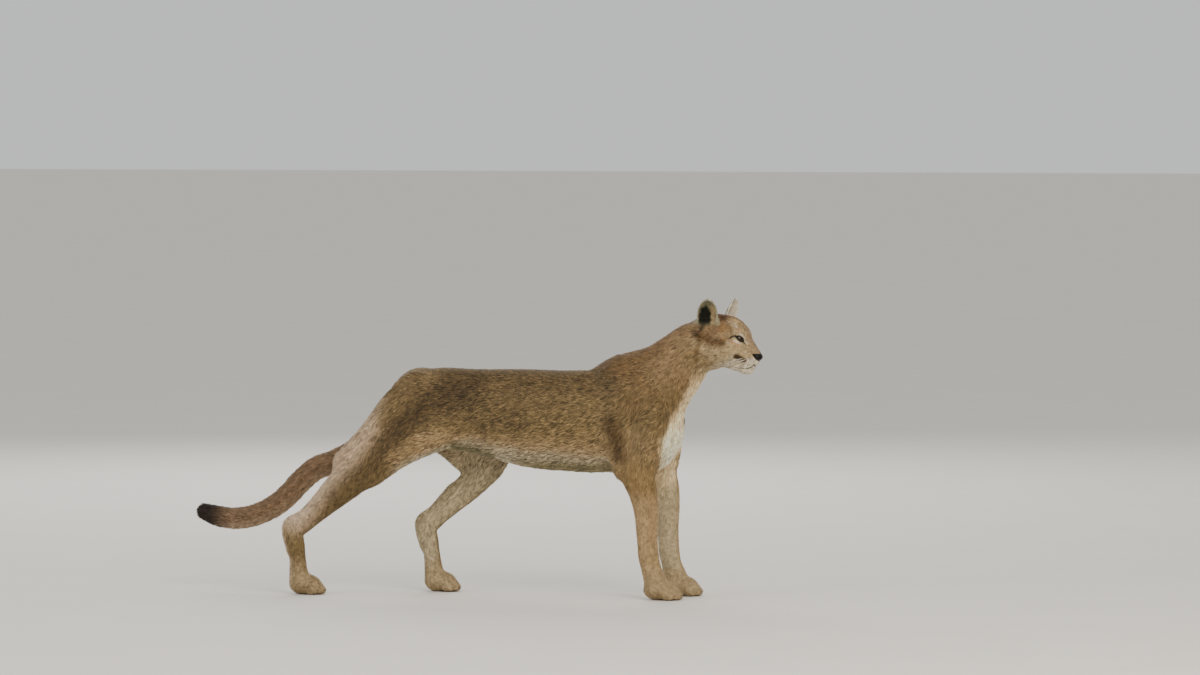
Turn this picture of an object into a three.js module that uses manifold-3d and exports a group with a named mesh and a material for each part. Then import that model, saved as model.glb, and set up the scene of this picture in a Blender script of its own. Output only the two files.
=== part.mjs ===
// A cougar standing in the open with one hind leg stretched back and its head raised,
// turned a little to its right. It has the size of a living adult.
// Millimetres, +Z up, +X towards the nose, +Y the animal's left, soles on z = 0.

import * as THREE from 'three';
import { mergeVertices } from 'three/addons/utils/BufferGeometryUtils.js';
import Module from 'manifold-3d';

const wasm = await Module();
wasm.setup();

// Driving dimensions
const backHeight = 613;
const bellyHeight = 338;
const ribHalfWidth = 111;
const legSpread = 88;          // midline to the middle of an elbow or hock
const farForelegLead = 26;     // how far the left forepaw stands ahead of the right one
const headTurn = -12;          // degrees, to the animal's right
const noseTip = [617, -34, 651];
const eyeRadius = 14.8;
const earHeight = 71;
const earHalfWidth = 29;
const earWall = 5.5;
const seam = 0.3;              // gap between nodes that touch
const centreShift = [-172.73, -0.23];  // x and y of the middle of the whole body's box

const coatColor = '#7d6443';
const paleColor = '#a8936f';
const muzzleColor = '#b6a183';
const tailColor = '#7a6040';
const irisColor = '#8a6a2c';

const rightSide = -1;
const leftSide = 1;
const farAway = 90;

const clamp = (value) => Math.min(1, Math.max(0, value));
const rad = THREE.MathUtils.degToRad;

// Smooth union of two distances
function smoothMin(a, b, blend) {
  const share = clamp(0.5 + (0.5 * (b - a)) / blend);
  return b + (a - b) * share - blend * share * (1 - share);
}

// A cubic through rows of numbers; keys holds where each row stands
function curveAt(keys, rows, key) {
  const last = keys.length - 1;
  let i = 0;
  while (i < last - 1 && key > keys[i + 1]) i += 1;
  const step = keys[i + 1] - keys[i];
  const t = clamp((key - keys[i]) / step);
  const slope = (k, column) => {
    const before = Math.max(0, k - 1);
    const after = Math.min(last, k + 1);
    const rise = (p, q) => (rows[q][column] - rows[p][column]) / (keys[q] - keys[p]);
    if (before === k || after === k) return rise(before, after);
    const left = keys[k] - keys[before];
    const right = keys[after] - keys[k];
    return (rise(k, after) * left + rise(before, k) * right) / (left + right);
  };
  return rows[i].map((value, column) => {
    const ahead = rows[i + 1][column];
    const smooth = t * t * (3 - 2 * t);
    const bendIn = t * (1 - t) * (1 - t) * step * slope(i, column);
    const bendOut = t * t * (1 - t) * step * slope(i + 1, column);
    return value + (ahead - value) * smooth + bendIn - bendOut;
  });
}

// A rounded cone from a to b, each [x, y, z, radius, width factor]
function coneShape(a, b) {
  const wide = (a[4] + b[4]) / 2;
  const run = [b[0] - a[0], (b[1] - a[1]) / wide, b[2] - a[2]];
  const runSquared = run[0] ** 2 + run[1] ** 2 + run[2] ** 2;
  const reach = Math.max(a[3], b[3]) * Math.max(1, wide);
  return {
    low: [0, 1, 2].map((i) => Math.min(a[i], b[i]) - reach),
    high: [0, 1, 2].map((i) => Math.max(a[i], b[i]) + reach),
    distance(x, y, z) {
      const px = x - a[0];
      const py = (y - a[1]) / wide;
      const pz = z - a[2];
      const t = clamp((px * run[0] + py * run[1] + pz * run[2]) / runSquared);
      const off = Math.hypot(px - t * run[0], py - t * run[1], pz - t * run[2]);
      return off - (a[3] + t * (b[3] - a[3]));
    },
  };
}

// A limb: rounded cones along a smooth curve through a few points
function tube(blend, points) {
  const stepsPerSpan = 4;
  const keys = [0];
  points.slice(1).forEach((point, i) => {
    const before = points[i];
    const length = Math.hypot(point[0] - before[0], point[1] - before[1], point[2] - before[2]);
    keys.push(keys[i] + length);
  });
  const fine = [];
  for (let i = 0; i < points.length - 1; i += 1) {
    for (let j = 0; j < stepsPerSpan; j += 1) {
      fine.push(curveAt(keys, points, keys[i] + ((keys[i + 1] - keys[i]) * j) / stepsPerSpan));
    }
  }
  fine.push(points[points.length - 1]);
  const cones = fine.slice(1).map((point, i) => coneShape(fine[i], point));
  return {
    blend,
    low: [0, 1, 2].map((i) => Math.min(...cones.map((cone) => cone.low[i]))),
    high: [0, 1, 2].map((i) => Math.max(...cones.map((cone) => cone.high[i]))),
    distance(x, y, z) {
      let nearest = farAway;
      for (const cone of cones) nearest = Math.min(nearest, cone.distance(x, y, z));
      return nearest;
    },
  };
}

// An ellipsoid; turn holds pitch (nose down), yaw (to the left) in degrees
function ball(blend, centre, radii, turn = [0, 0]) {
  const spin = new THREE.Euler(0, rad(turn[0]), rad(turn[1]), 'ZYX');
  const back = new THREE.Matrix4().makeRotationFromEuler(spin).transpose().elements;
  const reach = Math.max(...radii);
  return {
    blend,
    low: centre.map((value) => value - reach),
    high: centre.map((value) => value + reach),
    distance(x, y, z) {
      const px = x - centre[0];
      const py = y - centre[1];
      const pz = z - centre[2];
      const local = [0, 1, 2].map((i) => back[i] * px + back[i + 4] * py + back[i + 8] * pz);
      const near = Math.hypot(...local.map((value, i) => value / radii[i]));
      const slope = Math.hypot(...local.map((value, i) => value / radii[i] ** 2));
      return (near * (near - 1)) / Math.max(slope, 1e-6);
    },
  };
}

// Trunk, from the rump to the breast:
// x, top, bottom, half width, share of the height at which it is widest
const trunkStations = [
  [-396, backHeight - 42, bellyHeight + 137, 26, 0.55],
  [-360, backHeight - 12, bellyHeight + 95, 58, 0.58],
  [-290, backHeight, bellyHeight + 69, 80, 0.55],
  [-170, backHeight - 1, bellyHeight + 44, 92, 0.5],
  [-40, backHeight, bellyHeight + 12, ribHalfWidth - 5, 0.48],
  [80, backHeight - 2, bellyHeight + 2, ribHalfWidth, 0.45],
  [170, backHeight + 2, bellyHeight, ribHalfWidth - 3, 0.42],
  [260, backHeight + 7, bellyHeight + 9, ribHalfWidth - 16, 0.4],
  [343, backHeight - 4, bellyHeight + 39, ribHalfWidth - 41, 0.42],
  [378, backHeight - 28, bellyHeight + 87, ribHalfWidth - 67, 0.45],
];
const trunkSquareness = 2.15;

function trunkBarrel(blend) {
  const keys = trunkStations.map((row) => row[0]);
  const lastKey = keys[keys.length - 1];
  return {
    blend,
    low: [keys[0], -ribHalfWidth, bellyHeight],
    high: [lastKey, ribHalfWidth, backHeight + 10],
    distance(x, y, z) {
      const along = Math.min(lastKey, Math.max(keys[0], x));
      const [, top, bottom, half, share] = curveAt(keys, trunkStations, along);
      const middle = bottom + (top - bottom) * share;
      const height = z > middle ? top - middle : middle - bottom;
      const across = (Math.abs(y) / half) ** trunkSquareness;
      const upright = (Math.abs(z - middle) / height) ** trunkSquareness;
      const off = ((across + upright) ** (1 / trunkSquareness) - 1) * Math.min(half, height);
      return along === x ? off : Math.hypot(Math.max(off, 0), x - along);
    },
  };
}

const trunk = {
  blend: 1,
  shapes: [
    trunkBarrel(20),
    ball(40, [244, 0, 612], [78, 56, 42], [-8, 0]),
    ball(28, [324, 0, 446], [64, 76, 98], [8, 0]),
    ball(25, [-334, 0, 548], [50, 60, 54]),
  ],
};

const neck = {
  blend: 40,
  shapes: [
    tube(20, [
      [290, 0, 552, 104, 0.92],
      [346, 0, 598, 91, 0.9],
      [388, -2, 640, 78, 0.94],
      [422, -6, 673, 68, 0.98],
      [450, -13, 692, 60, 1],
    ]),
  ],
};

// Four toes round the front of a pad; place() sets a point on its side of the body
function paw(place, x, y, size) {
  const toes = [[34, -27, 15.5], [47, -10, 16.5], [46, 10, 16.5], [31, 27, 15.5]];
  const shapes = [ball(12, place(x + 8, y, 27), [45 * size, 40 * size, 29])];
  for (const [ahead, aside, radius] of toes) {
    const along = (share, spread) => [x + ahead * share * size, y + aside * spread * size];
    shapes.push(tube(6, [
      place(...along(0.3, 0.8), 33, 16 * size, 1),
      place(...along(0.75, 0.97), 28, 17 * size, 1),
      place(...along(1, 1), 17, radius * size, 1),
      place(x + (ahead + 8) * size, y + aside * 1.02 * size, 11.5, 13.5 * size, 1),
    ]));
  }
  return shapes;
}

function foreleg(side, lead) {
  const shoulderHeight = 560;
  const leadRise = 260;
  const place = (x, y, z, ...rest) => [
    x + lead * clamp((shoulderHeight - z) / leadRise), y * side, z, ...rest];
  const y = legSpread;
  const shapes = [
    tube(40, [
      place(215, y - 36, 586, 34, 0.8),
      place(262, y - 16, 560, 44, 0.75),
      place(312, y - 3, 520, 50, 0.72),
      place(325, y + 3, 478, 46, 0.76),
      place(314, y + 5, 430, 48, 0.74),
      place(299, y + 2, 376, 49, 0.72),
    ]),
    tube(34, [
      place(250, y - 18, 530, 42, 0.7),
      place(238, y - 2, 470, 44, 0.66),
      place(248, y + 1, 400, 39, 0.68),
    ]),
    tube(22, [
      place(266, y, 388, 46, 0.72),
      place(284, y, 345, 47, 0.78),
      place(301, y - 4, 290, 39, 0.84),
      place(309, y - 7, 240, 33.5, 0.9),
      place(311, y - 10, 180, 29, 0.96),
      place(313, y - 11, 145, 28, 1.02),
      place(315, y - 12, 118, 28, 1.08),
      place(322, y - 13, 84, 27, 1.12),
      place(332, y - 13, 54, 30, 1.2),
    ]),
    ball(18, place(246, y - 1, 352), [24, 23, 26]),
    ...paw(place, 338, y - 13, 1),
  ];
  return { blend: 30, shapes };
}

// joints holds [x, z] of the hip, knee, hock and toe joint; kneeOut and hockOut their y.
// Rows of the hamstring and calf: share of the bone, distance ahead of it, share of the way
// out, radius, width factor
function hindLeg(side, joints, kneeOut, hockOut) {
  const { hip, knee, hock, toe, hamstring, calf, fold } = joints;
  const hipOut = 58;
  const bone = (from, to, fromOut, toOut) => {
    const length = Math.hypot(to[0] - from[0], to[1] - from[1]);
    const way = [(to[0] - from[0]) / length, (to[1] - from[1]) / length];
    const ahead = way[1] < 0 ? [-way[1], way[0]] : [way[1], -way[0]];
    return (share, forward, outShare, ...rest) => [
      from[0] + way[0] * length * share + ahead[0] * forward,
      side * (fromOut + (toOut - fromOut) * outShare),
      from[1] + way[1] * length * share + ahead[1] * forward,
      ...rest,
    ];
  };
  const thigh = bone(hip, knee, hipOut, kneeOut);
  const shank = bone(knee, hock, kneeOut, hockOut);
  const foot = (share, radius, wide) => [
    hock[0] + (toe[0] - hock[0]) * share, side * hockOut,
    hock[1] + (toe[1] - hock[1]) * share, radius, wide];
  const place = (x, y, z, ...rest) => [x, y * side, z, ...rest];
  const shapes = [
    tube(34, [
      thigh(-0.12, 2, -0.1, 53, 0.6),
      thigh(0.2, 4, 0.35, 70, 0.6),
      thigh(0.6, 6, 0.8, 62, 0.58),
      thigh(1, 0, 1, 41, 0.6),
    ]),
    tube(34, hamstring.map((row) => thigh(...row))),
    ball(16, thigh(1, 8, 1), [31, 25, 31]),
    tube(20, [
      ...calf.map((row) => shank(...row)),
      shank(0.85, 0, 0.85, 25, 0.9),
      shank(1, 0, 1, 26, 0.86),
      foot(0.34, 22.5, 1),
      foot(0.7, 23, 1.05),
      foot(0.97, 26, 1.15),
    ]),
    tube(22, [
      shank(0.5, -14, 0.4, 17, 0.9),
      shank(0.82, -17, 0.85, 15, 0.9),
      place(hock[0] - 20, hockOut, hock[1] + 12, 16, 0.9),
      place(hock[0] - 15, hockOut, hock[1] - 18, 17, 0.95),
      place(hock[0] - 8, hockOut, hock[1] - 46, 16, 1),
    ]),
    ...paw(place, toe[0] + 8, hockOut, 0.94),
  ];
  if (fold) shapes.push(tube(34, fold.map((point) => place(...point))));
  return { blend: 34, shapes };
}

const forelegs = {
  right: foreleg(rightSide, 0),
  left: foreleg(leftSide, farForelegLead),
};
// The right leg stretches back and draws out a fold of skin from the flank to its knee
const stretchedLeg = {
  hip: [-343, 524],
  knee: [-455, 338],
  hock: [-660, 172],
  toe: [-650, 46],
  hamstring: [
    [-0.05, -16, -0.1, 38, 0.6],
    [0.3, -28, 0.45, 38, 0.64],
    [0.8, -44, 0.9, 43, 0.62],
    [1.05, -54, 1, 45, 0.6],
  ],
  calf: [
    [-0.12, -12, 0, 46, 0.62],
    [0.12, -14, 0, 50, 0.68],
    [0.36, -12, 0.1, 44, 0.76],
    [0.62, -6, 0.5, 33, 0.84],
  ],
  fold: [
    [-225, 66, 457, 46, 0.5],
    [-300, 84, 427, 46, 0.55],
    [-375, 92, 400, 50, 0.58],
    [-430, 94, 366, 42, 0.6],
  ],
};
const advancedLeg = {
  hip: [-322, 508],
  knee: [-168, 348],
  hock: [-330, 176],
  toe: [-314, 46],
  hamstring: [
    [-0.05, -34, -0.1, 44, 0.6],
    [0.3, -30, 0.45, 42, 0.64],
    [0.8, -30, 0.9, 34, 0.62],
  ],
  calf: [
    [-0.12, 0, 0, 42, 0.62],
    [0.12, 5, 0, 42, 0.68],
    [0.36, 4, 0.1, 38, 0.76],
    [0.62, 0, 0.5, 32, 0.84],
  ],
};
const hindLegs = {
  right: hindLeg(rightSide, stretchedLeg, legSpread + 6, legSpread),
  left: hindLeg(leftSide, advancedLeg, legSpread + 4, legSpread - 4),
};

// Tail, from the rump down behind the right thigh and out along the ground
const tailLine = [
  [-356, 0, 556, 36], [-388, 2, 526, 34], [-420, 6, 486, 32], [-462, 11, 438, 31],
  [-512, 15, 389, 31], [-572, 18, 356, 31], [-630, 21, 334, 30.5], [-672, 23, 300, 30],
  [-708, 25, 262, 29.5], [-752, 28, 228, 29], [-805, 31, 204, 28.5], [-862, 34, 194, 28],
  [-912, 36, 200, 26.5], [-946, 38, 210, 22],
].map((point) => [...point, 1]);
const rootPoints = 4;
const tailRoot = { blend: 22, shapes: [tube(12, tailLine.slice(0, rootPoints))] };
const tail = { blend: 22, shapes: [tube(12, tailLine)] };

// Head, measured from the nose tip: u ahead, v to the left, w up
const turnCos = Math.cos(rad(headTurn));
const turnSin = Math.sin(rad(headTurn));
const onHead = ([u, v, w], ...rest) => [
  noseTip[0] + u * turnCos - v * turnSin,
  noseTip[1] + u * turnSin + v * turnCos,
  noseTip[2] + w,
  ...rest,
];
const headBall = (blend, centre, radii, turn = [0, 0]) => (
  ball(blend, onHead(centre), radii, [turn[0], turn[1] + headTurn]));
const headCone = (blend, a, radiusA, b, radiusB) => (
  tube(blend, [onHead(a, radiusA, 1), onHead(b, radiusB, 1)]));

function headShapes() {
  const shapes = [
    headBall(14, [-134, 0, 58], [66, 57, 58]),
    headBall(18, [-92, 0, 58], [50, 45, 50], [10, 0]),
    headBall(20, [-148, 0, 22], [56, 60, 56]),
    headCone(16, [-66, 0, 50], 29, [-20, 0, 9], 15),
  ];
  for (const side of [rightSide, leftSide]) {
    shapes.push(
      headBall(22, [-96, 34 * side, 54], [36, 22, 30]),
      headBall(12, [-65, 24 * side, 71], [19, 15, 11], [25, 0]),
      headBall(24, [-98, 43 * side, 22], [46, 27, 34], [0, 14 * side]),
      headBall(22, [-112, 42 * side, 9], [40, 25, 29], [0, 8 * side]),
      headBall(20, [-62, 24 * side, 16], [34, 22, 26], [25, 12 * side]),
      headBall(12, [-45, 16 * side, -9], [29, 19.5, 17.5], [6, 10 * side]),
      headCone(18, [-50, 12 * side, -28.5], 13, [-108, 36 * side, 2], 20),
      headBall(14, [-66, 25 * side, -15], [22, 14, 12], [0, 20 * side]),
    );
  }
  shapes.push(
    headBall(10, [-40, 0, -32], [17, 18, 13], [-10, 0]),
    headBall(6, [-19, 0, -9], [9, 9, 10]),
    headBall(7, [-12, 0, 1.5], [12, 16, 9.5]),
    headBall(16, [-122, 0, 9], [50, 44, 31]),
  );
  return shapes;
}
const head = { blend: 18, shapes: headShapes() };

// Distance to the whole body made of these groups
function fieldOf(groups) {
  const within = (shape, x, y, z, reach) => (
    x > shape.low[0] - reach && x < shape.high[0] + reach
    && y > shape.low[1] - reach && y < shape.high[1] + reach
    && z > shape.low[2] - reach && z < shape.high[2] + reach);
  const reach = 30;
  return (x, y, z) => {
    let whole = farAway;
    for (const group of groups) {
      let part = farAway;
      for (const shape of group.shapes) {
        if (within(shape, x, y, z, reach + group.blend)) {
          part = smoothMin(part, shape.distance(x, y, z), shape.blend);
        }
      }
      whole = smoothMin(whole, part, group.blend);
    }
    return whole;
  };
}

// A closed mesh as a manifold solid
function solidOf(geometry) {
  const bare = new THREE.BufferGeometry();
  bare.setAttribute('position', geometry.getAttribute('position'));
  bare.setIndex(geometry.index);
  const merged = mergeVertices(bare, 1e-4);
  return new wasm.Manifold(new wasm.Mesh({
    numProp: 3,
    vertProperties: Float32Array.from(merged.getAttribute('position').array),
    triVerts: Uint32Array.from(merged.index.array),
  }));
}

function meshSolid(points, triangles) {
  const geometry = new THREE.BufferGeometry();
  geometry.setAttribute('position', new THREE.Float32BufferAttribute(points.flat(), 3));
  geometry.setIndex(triangles.flat());
  return solidOf(geometry);
}

// The surface where the field equals level, inside a box, as quads of about one cell
function fieldSolid(field, low, high, cell, level = 0) {
  const count = [0, 1, 2].map((i) => Math.ceil((high[i] - low[i]) / cell) + 1);
  const at = (i, j, k) => (i * count[1] + j) * count[2] + k;
  const onEdge = (n, axis) => n === 0 || n === count[axis] - 1;
  const values = new Float64Array(count[0] * count[1] * count[2]);
  for (let i = 0; i < count[0]; i += 1) {
    for (let j = 0; j < count[1]; j += 1) {
      for (let k = 0; k < count[2]; k += 1) {
        const sealed = onEdge(i, 0) || onEdge(j, 1) || onEdge(k, 2);
        const value = field(low[0] + i * cell, low[1] + j * cell, low[2] + k * cell);
        values[at(i, j, k)] = sealed ? cell : value;
      }
    }
  }
  fillCheckered(values, count);
  const corners = [];
  for (let n = 0; n < 8; n += 1) corners.push([n & 1, (n >> 1) & 1, (n >> 2) & 1]);
  const points = [];
  const pointIn = new Map();
  for (let i = 0; i < count[0] - 1; i += 1) {
    for (let j = 0; j < count[1] - 1; j += 1) {
      for (let k = 0; k < count[2] - 1; k += 1) {
        const here = corners.map(([a, b, c]) => values[at(i + a, j + b, k + c)]);
        const inside = here.filter((value) => value < 0).length;
        if (inside === 0 || inside === 8) continue;
        const sum = [0, 0, 0];
        let crossings = 0;
        for (let a = 0; a < 8; a += 1) {
          for (let axis = 0; axis < 3; axis += 1) {
            const b = a | (1 << axis);
            if (b === a || here[a] < 0 === here[b] < 0) continue;
            const t = here[a] / (here[a] - here[b]);
            corners[a].forEach((value, n) => { sum[n] += value + (n === axis ? t : 0); });
            crossings += 1;
          }
        }
        const point = sum.map((value, n) => low[n] + ([i, j, k][n] + value / crossings) * cell);
        const atWall = [i, j, k].some((n, axis) => n === 0 || n === count[axis] - 2);
        pointIn.set(at(i, j, k), points.length);
        points.push(atWall ? point : settle(field, point, cell, level));
      }
    }
  }
  const triangles = [];
  for (let i = 0; i < count[0] - 1; i += 1) {
    for (let j = 0; j < count[1] - 1; j += 1) {
      for (let k = 0; k < count[2] - 1; k += 1) {
        for (let axis = 0; axis < 3; axis += 1) {
          const step = [0, 0, 0];
          step[axis] = 1;
          const from = values[at(i, j, k)];
          const to = values[at(i + step[0], j + step[1], k + step[2])];
          if (from < 0 === to < 0) continue;
          const side = (axis + 1) % 3;
          const rise = (axis + 2) % 3;
          const quad = [[0, 0], [1, 0], [1, 1], [0, 1]].map(([a, b]) => {
            const cellAt = [i, j, k];
            cellAt[side] -= a;
            cellAt[rise] -= b;
            return pointIn.get(at(...cellAt));
          });
          if (from >= 0) quad.reverse();
          triangles.push(...splitQuad(points, quad));
        }
      }
    }
  }
  return meshSolid(points, triangles);
}

// Where the corners of a grid square lie in, out, in, out, two sheets would share an edge:
// the outer corner nearest the surface is taken in
function fillCheckered(values, count) {
  const strides = [count[1] * count[2], count[2], 1];
  const justInside = -0.2;
  let filled = true;
  while (filled) {
    filled = false;
    for (let n = 0; n < values.length; n += 1) {
      const spot = strides.map((stride, axis) => Math.floor(n / stride) % count[axis]);
      for (let axis = 0; axis < 3; axis += 1) {
        const other = (axis + 1) % 3;
        if (spot[axis] + 1 >= count[axis] || spot[other] + 1 >= count[other]) continue;
        const a = strides[axis];
        const b = strides[other];
        const ring = [n, n + a, n + a + b, n + b];
        const out = ring.filter((at, i) => values[at] >= 0 && values[ring[(i + 1) % 4]] < 0
          && values[ring[(i + 3) % 4]] < 0);
        if (out.length !== 2) continue;
        const nearer = values[out[0]] < values[out[1]] ? out[0] : out[1];
        values[nearer] = justInside;
        filled = true;
      }
    }
  }
}

// Moves a point on to the surface along the field's slope
function settle(field, start, cell, level) {
  const probe = 0.5;
  const rounds = 3;
  const point = [...start];
  for (let n = 0; n < rounds; n += 1) {
    const off = field(...point) - level;
    const slope = [0, 1, 2].map((axis) => {
      const ahead = [...point];
      ahead[axis] += probe;
      return (field(...ahead) - level - off) / probe;
    });
    const steep = Math.max(slope[0] ** 2 + slope[1] ** 2 + slope[2] ** 2, 0.2);
    const most = cell * 0.3;
    for (let axis = 0; axis < 3; axis += 1) {
      const move = Math.min(most, Math.max(-most, (off * slope[axis]) / steep));
      point[axis] -= move;
    }
  }
  return point;
}

// Two triangles, split along the shorter diagonal
function splitQuad(points, [a, b, c, d]) {
  const apart = (p, q) => Math.hypot(...points[p].map((value, n) => value - points[q][n]));
  if (apart(a, c) < apart(b, d)) return [[a, b, c], [a, c, d]];
  return [[a, b, d], [b, c, d]];
}

// Everything on one side of a plane: the side that the normal points to
function halfSpace(point, normal, shift = 0) {
  const size = 4000;
  const way = new THREE.Vector3(...normal).normalize();
  const box = new THREE.BoxGeometry(size, size, size);
  box.translate(0, 0, size / 2);
  const spin = new THREE.Quaternion().setFromUnitVectors(new THREE.Vector3(0, 0, 1), way);
  box.applyQuaternion(spin);
  box.translate(...point.map((value, n) => value + way.getComponent(n) * shift));
  return solidOf(box);
}

// Cutting planes, each a point and the direction in which the part named first lies
const headPlane = [[447, -10, 677], [0.98, -0.1, 0.19]];
const neckPlane = [[352, 0, 592], [0.745, 0, 0.667]];
const elbowPlane = [[0, 0, bellyHeight - 12], [0, 0, -1]];
const pawHeight = 72;
const pawPlane = [[0, 0, pawHeight], [0, 0, -1]];
const hipPlane = [[-315, 0, 490], [-0.69, 0, -0.724]];
const kneePlanes = {
  right: [[-478, 0, 330], [-0.8, 0, -0.6]],
  left: [[-196, 0, 322], [-0.45, 0, -0.89]],
};
const tailPlane = [[-430, 6, 482], [-0.67, 0, -0.742]];
const midTailPlane = [[-630, 0, 334], [-0.85, 0, -0.53]];
const tipPlane = [[-840, 0, 196], [-1, 0, -0.1]];
const thighInnerSide = 28;

// Kept is the solid on the plane's side, rest what lies on the other, half a seam from it
const keep = (solid, [point, normal]) => solid.intersect(halfSpace(point, normal, seam / 2));
const rest = (solid, [point, normal]) => solid.subtract(halfSpace(point, normal, -seam / 2));

function hipWedge(side, shift) {
  const inner = halfSpace([0, side * thighInnerSide, 0], [0, side, 0], shift);
  return inner.intersect(halfSpace(...hipPlane, shift));
}

// A node keeps only its largest closed surface
function largest(solid) {
  const bodies = solid.decompose();
  return bodies.reduce((best, body) => (body.volume() > best.volume() ? body : best));
}

const torsoCell = 29;
const neckCell = 20;
const legCell = 19;
const pawCell = 12;
const tailCell = 18;
const headCell = 10;

const floorPlane = [[0, 0, -seam / 2], [0, 0, 1]];
const onFloor = (solid) => keep(solid, floorPlane);

function torsoSolid() {
  const groups = [
    trunk, neck, forelegs.right, forelegs.left, hindLegs.right, hindLegs.left, tailRoot];
  let solid = fieldSolid(fieldOf(groups), [-560, -175, 280], [500, 175, 740], torsoCell);
  solid = rest(rest(solid, neckPlane), elbowPlane);
  for (const side of [rightSide, leftSide]) solid = solid.subtract(hipWedge(side, -seam / 2));
  return rest(solid, tailPlane);
}

function neckSolid() {
  const groups = [trunk, neck, forelegs.right, forelegs.left, head];
  const solid = fieldSolid(fieldOf(groups), [230, -150, 470], [540, 130, 800], neckCell);
  return rest(keep(solid, neckPlane), headPlane);
}

const headLow = [415, -150, 560];
const headHigh = [650, 110, 785];
const headField = fieldOf([neck, head]);

function forelegSolid(side, name) {
  const field = fieldOf([trunk, forelegs[name]]);
  const yBounds = [side * 20, side * 160].sort((a, b) => a - b);
  const solid = fieldSolid(field, [190, yBounds[0], 40], [420, yBounds[1], 370], legCell);
  return rest(keep(solid, elbowPlane), pawPlane);
}

function pawSolid(side, group, x) {
  const yBounds = [side * 15, side * 160].sort((a, b) => a - b);
  const low = [x - 90, yBounds[0], -27];
  return onFloor(keep(
    fieldSolid(fieldOf([group]), low, [x + 110, yBounds[1], pawHeight + 30], pawCell), pawPlane));
}

function thighSolid(side, name) {
  const solid = fieldSolid(
    fieldOf([trunk, hindLegs[name]]), [-600, side > 0 ? 0 : -180, 250],
    [-60, side > 0 ? 180 : 0, 640], legCell + 3);
  return rest(solid.intersect(hipWedge(side, seam / 2)), kneePlanes[name]);
}

function shankSolid(side, name) {
  const solid = fieldSolid(
    fieldOf([trunk, hindLegs[name]]), [-740, side > 0 ? 20 : -160, 30],
    [-60, side > 0 ? 160 : -20, 420], legCell - 2);
  const belowHip = solid.intersect(hipWedge(side, seam / 2));
  return rest(keep(belowHip, kneePlanes[name]), pawPlane);
}

const eyeMiddle = (side) => [-58.5, 29.5 * side, 51];
const gazeOut = 34;

// A ball of triangles for the eye and its socket, alike but for their size
function eyeBall(side, radius) {
  const geometry = new THREE.SphereGeometry(radius, 14, 10);
  geometry.translate(...onHead(eyeMiddle(side)));
  return solidOf(geometry);
}

// The almond between the lids; its inner corner lies lower
function lidOpening(side) {
  const halfDepth = 11;
  const halfLength = 12.8;
  const halfHeight = 7.6;
  const tilt = 24;
  const out = rad(gazeOut);
  const reach = eyeRadius - 2.5;
  const geometry = new THREE.SphereGeometry(1, 14, 8);
  geometry.scale(halfDepth, halfLength, halfHeight);
  geometry.rotateX(rad(side * tilt));
  geometry.rotateZ(out * side);
  const [u, v, w] = eyeMiddle(side);
  const ahead = [u + Math.cos(out) * reach, v + Math.sin(out) * reach * side, w - 0.5];
  geometry.rotateZ(rad(headTurn));
  geometry.translate(...onHead(ahead));
  return solidOf(geometry);
}

// The line of the mouth, a groove from corner to corner round the front of the lips:
// one side's points from the midline back, each with the direction out of the face
const mouthLine = [
  { at: [-26, 0, -20], out: [1, 0] },
  { at: [-28.5, 9, -22.5], out: [0.85, 0.53] },
  { at: [-35, 20, -25.5], out: [0.64, 0.77] },
  { at: [-47, 29, -26.5], out: [0.42, 0.91] },
  { at: [-60, 36, -25.5], out: [0.34, 0.94] },
  { at: [-73, 42, -22.5], out: [0.3, 0.95] },
];

function mouthGroove() {
  const depth = 5;
  const halfHeight = 1.7;
  const sides = 4;
  const oneSide = (side) => mouthLine.map(({ at, out }) => (
    { at: [at[0], at[1] * side, at[2]], out: [out[0], out[1] * side] }));
  const path = [...oneSide(rightSide).slice(1).reverse(), ...oneSide(leftSide)];
  const points = path.flatMap(({ at: [u, v, w], out }) => [
    onHead([u + out[0] * depth, v + out[1] * depth, w]),
    onHead([u, v, w + halfHeight]),
    onHead([u - out[0] * depth, v - out[1] * depth, w]),
    onHead([u, v, w - halfHeight]),
  ]);
  const triangles = [];
  for (let i = 0; i < path.length - 1; i += 1) {
    for (let j = 0; j < sides; j += 1) {
      const a = i * sides + j;
      const b = i * sides + ((j + 1) % sides);
      triangles.push([a, b + sides, b], [a, a + sides, b + sides]);
    }
  }
  const end = (path.length - 1) * sides;
  triangles.push([0, 1, 2], [0, 2, 3]);
  triangles.push([end, end + 2, end + 1], [end, end + 3, end + 2]);
  return meshSolid(points, triangles);
}

// A nostril is a slanting slot beside the midline
function nostril(side) {
  const halfSize = [6.5, 3.2, 2.6];
  const middle = [-5, 9.5 * side, 1];
  const slant = 38;
  const geometry = new THREE.SphereGeometry(1, 10, 8);
  geometry.scale(...halfSize);
  geometry.rotateZ(rad(side * slant + headTurn));
  geometry.translate(...onHead(middle));
  return solidOf(geometry);
}

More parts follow.
